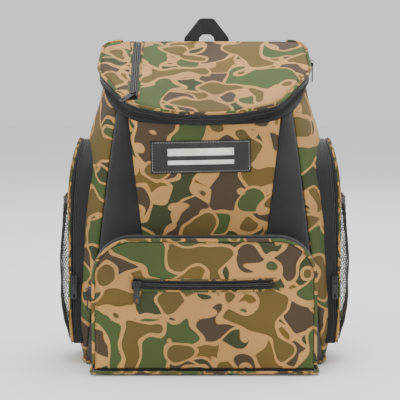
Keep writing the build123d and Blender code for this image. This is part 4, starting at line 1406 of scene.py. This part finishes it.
def build_straps():
    for side, sign in SIDES:
        strap = f"strap_{side}"
        made, points = pad_mesh(side, sign)
        puff(made, 4.5, 4.0, 3.0)
        attach(made, strap, "padding", f"shoulder_pad_{side}")
        heights = np.linspace(420, 116, 60)
        y = curve_value(sorted(PAD_SIDE, key=lambda p: p[1]), heights) + 6.8
        x = (curve_value(sorted(PAD_INNER, key=lambda p: p[1]), heights)
             + curve_value(sorted(PAD_OUTER, key=lambda p: p[1]), heights)) / 2
        x = x + (100 - x) * smooth(160, 122, heights)
        y = y + (103.2 - y) * smooth(150, 120, heights)
        path = np.stack([sign * x, y, heights], axis=1)
        made = flat_strip(f"strap_rib_{side}", path, np.tile((1.0, 0, 0), (60, 1)), 25.0, 1.6, black_webbing)
        attach(made, strap, "black_webbing")
        for k, offset in enumerate((-10.5, 10.5)):
            line = path + (offset, 1.0, 0)
            out = np.tile((0, 1.0, 0), (60, 1))
            attach(stitches(f"strap_stitch_{k}_{side}", line, out, thread_black), strap, "black_webbing")
        for number, at in enumerate((372, 300, 214)):
            k = int(np.argmin(np.abs(heights - at)))
            centre = path[k]
            bar = np.stack(
                [np.linspace(-12, 12, 14) + centre[0], np.full(14, centre[1] + 1.1), np.full(14, centre[2])],
                axis=1
            )
            made = stitches(
                f"strap_tack_{number}_{side}", bar, np.tile((0, 1.0, 0), (14, 1)), thread_black, 1.4,
                0.2, 0.5
            )
            attach(made, strap, "black_webbing")
        binding(side, points, strap)
        web_pieces(side)


def binding(side, points, strap):
    """Bound edges down both sides of the shoulder pad."""
    for name, column in (("outer", 0), ("inner", 16)):
        edge = points[2:-3, column]
        path = resample(edge, 3.0)
        along = tangents(path)
        across = np.tile((1.0, 0, 0), (len(path), 1))
        lift = np.cross(along, across)
        made = cord_along(f"strap_binding_{name}_{side}", path, across, lift, 2.3, black_webbing, 10)
        attach(made, strap, "black_webbing")


def web_pieces(side):
    """The lower webbing, copied from its CAD shape so that it threads the buckle in the same way."""
    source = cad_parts[f"strap_web_{side}"]
    data = source.data.copy()
    made = bpy.data.objects.new(f"lower_web_{side}", data)
    bpy.context.scene.collection.objects.link(made)
    shape = bmesh.new()
    shape.from_mesh(data)
    bmesh.ops.subdivide_edges(shape, edges=[e for e in shape.edges if e.calc_length() > 0.008], cuts=3)
    bmesh.ops.triangulate(shape, faces=shape.faces)
    shape.to_mesh(data)
    shape.free()
    spots = np.array([v.co for v in data.vertices])
    loops = np.zeros(len(data.loops), int)
    data.loops.foreach_get("vertex_index", loops)
    layer = data.uv_layers.get("cloth") or data.uv_layers.new(name="cloth")
    layer.data.foreach_set("uv", spots[loops][:, [0, 2]].ravel())
    data.materials.clear()
    data.materials.append(black_webbing)
    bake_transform(made)
    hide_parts(f"strap_web_{side}")
    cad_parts[f"ladder_lock_{side}"].data.materials.clear()
    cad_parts[f"ladder_lock_{side}"].data.materials.append(plastic)


def soft_block(
    name, outline, y_back, depth, material, body, slot, nodes=(), pressure=4.0, cap=4.0, voxel=4.0
):
    """A padded panel on the back: outline in (x, z), standing off the back by depth."""
    outline = resample(np.concatenate([outline, outline[:1]]), 4.0)[:-1]
    centre = outline.mean(axis=0)
    layers = []
    for share, out in ((0.9, 0.3), (1.0, 0.3), (1.0, depth * 0.6), (0.97, depth * 0.85), (0.9, depth)):
        ring = centre + (outline - centre) * share
        layers.append(np.stack([ring[:, 0], np.full(len(ring), y_back + out), ring[:, 1]], axis=1))
    points = np.stack(layers)
    faces = grid_faces(len(layers), len(outline), True)
    made = make_object(name, points.reshape(-1, 3), faces, points[..., [0, 2]].reshape(-1, 2), material)
    made = cap_ends(made)
    puff(made, voxel, pressure, cap)
    attach(made, body, slot, *nodes)
    return made


def rounded_outline(x0, x1, z0, z1, radius):
    path = rounded_path(
        [((x0 + x1) / 2, z0), (x1, z0), (x1, z1), (x0, z1), (x0, z0), ((x0 + x1) / 2 - 0.01, z0)],
        [radius] * 4, 3.0
    )
    return path[:-1]


def build_back():
    for k, (low, high, half) in enumerate(((60, 150, 62), (158, 250, 58), (258, 360, 50))):
        outline = rounded_outline(-half, half, low, high, 14)
        nodes = ("back_pads",) if k == 0 else ()
        soft_block(f"back_pad_{k}", outline, BACK_Y + 0.6, 6.0, back_mesh, "pack", "padding", nodes, cap=2.6)
        line = np.stack([outline[:, 0], np.full(len(outline), BACK_Y + 1.6), outline[:, 1]], axis=1)
        across = np.stack(
            [
                (outline - outline.mean(axis=0))[:, 0], np.zeros(len(line)),
                (outline - outline.mean(axis=0))[:, 1]
            ],
            axis=1
        )
        across /= np.linalg.norm(across, axis=1, keepdims=True)
        made = cord_along(
            f"back_pad_edge_{k}", line, across, np.tile((0, 1.0, 0), (len(line), 1)), 1.5, black_gusset,
            8
        )
        attach(made, "pack", "black_fabric")
    xs, zs = np.meshgrid(np.linspace(-88, 88, 40), np.linspace(381, 446, 20), indexing="ij")
    edge = np.minimum(88 - np.abs(xs), np.minimum(zs - 381, 446 - zs))
    points = np.stack(
        [xs, BACK_Y + 0.4 + 1.3 * smooth(0, 5, edge) + ripple(xs, zs, 61, 50, 0.15), zs], axis=2
    )
    made = grid_object("yoke", points, points[..., [0, 2]], black_cloth, 1.0)
    attach(made, "pack", "black_fabric", "harness_yoke")
    for k, z in enumerate((386, 441)):
        line = np.stack([np.linspace(-84, 84, 60), np.full(60, BACK_Y + 1.9), np.full(60, z)], axis=1)
        attach(
            stitches(f"yoke_stitch_{k}", line, np.tile((0, 1.0, 0), (60, 1)), thread_black), "pack",
            "black_webbing"
        )
    for side, sign in SIDES:
        outline = rounded_path(
            [(141, 8), (164, 8), (156, 44), (127, 44), (118, 8), (140.9, 8)], [2, 2, 2, 2], 3.0
        )[:-1]
        outline = outline * (sign, 1)
        dense = resample(np.concatenate([outline, outline[:1]]), 3.0)[:-1]
        rings = disc_rings(dense, dense.mean(axis=0), 10)
        lift = ring_shares(10)[:, None]
        out = BACK_Y + 1.0 + 2.2 * (1 - smooth(0.8, 1.0, lift)) + 0 * rings[..., 0]
        points = np.stack([rings[..., 0], out, rings[..., 1]], axis=2)
        made = grid_object(f"anchor_tab_{side}", points, rings, black_cloth, 1.6, loop=True)
        attach(cap_disc(made), "pack", "black_fabric")
        inner = dense + (dense.mean(axis=0) - dense) * 0.14
        line = np.stack([inner[:, 0], np.full(len(inner), BACK_Y + 3.2), inner[:, 1]], axis=1)
        attach(
            stitches(f"anchor_stitch_{side}", line, np.tile((0, 1.0, 0), (len(line), 1)), thread_black),
            "pack", "black_webbing"
        )
    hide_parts("anchor_tabs")


# ---------------------------------------------------------------- hardware
def build_hardware():
    for name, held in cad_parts.items():
        if name.endswith(("_slider", "_pull")):
            held.data.materials.clear()
            held.data.materials.append(metal)
            edge = held.modifiers.new("worn_edges", "BEVEL")
            edge.width = 0.25 * MM
            edge.segments = 2
            edge.limit_method = "ANGLE"


# ---------------------------------------------------------------- stage
def build_stage():
    data = bpy.data.meshes.new("floor")
    size = 6.0
    data.from_pydata(
        [(-size, -size, -0.0005), (size, -size, -0.0005), (size, size, -0.0005), (-size, size, -0.0005)],
        [], [(0, 1, 2, 3)]
    )
    floor = bpy.data.objects.new("floor", data)
    bpy.context.scene.collection.objects.link(floor)
    made, tree, shader = new_material("floor")
    tone = noise(tree, object_coordinates(tree), 1.5, 2.0)
    tree.links.new(ramp(tree, tone.outputs["Fac"], [(0.3, 0.93), (0.7, 0.95)]), shader.inputs["Base Color"])
    shader.inputs["Roughness"].default_value = 0.9
    data.materials.append(made)
    world = bpy.data.worlds.new("studio")
    world.use_nodes = True
    background = world.node_tree.nodes["Background"]
    background.inputs[0].default_value = (1, 1, 1, 1)
    background.inputs[1].default_value = 0.95
    bpy.context.scene.world = world
    for name, place, aim, size, power in (
        ("key", (-0.5, -1.3, 2.3), (0, 0, 0.25), 1.4, 26),
        ("top", (0.3, 0.2, 2.2), (0, 0, 0.4), 1.6, 42),
        ("back", (0.6, 2.0, 1.6), (0, 0, 0.25), 1.6, 14),
    ):
        light = bpy.data.lights.new(name, "AREA")
        light.size = size
        light.energy = power
        lamp = bpy.data.objects.new(name, light)
        lamp.location = place
        lamp.rotation_euler = (Vector(aim) - Vector(place)).to_track_quat("-Z", "Y").to_euler()
        bpy.context.scene.collection.objects.link(lamp)
    camera = bpy.data.objects.new("camera", bpy.data.cameras.new("camera"))
    camera.location = (0, -2.2755, 0.4565)
    camera.rotation_euler = (math.radians(84), 0, 0)
    camera.data.lens = 145.6
    camera.data.sensor_width = 36
    camera.data.shift_x = -0.01125
    camera.data.shift_y = 0.015
    bpy.context.scene.collection.objects.link(camera)
    bpy.context.scene.camera = camera


build_stage()
build_shell()
build_board()
build_lid()
build_front_pocket()
for side_name, side_sign in SIDES:
    build_side(side_name, side_sign)
replace_side_gussets()
build_label()
build_handle()
build_straps()
build_back()
build_hardware()

bpy.context.view_layer.update()
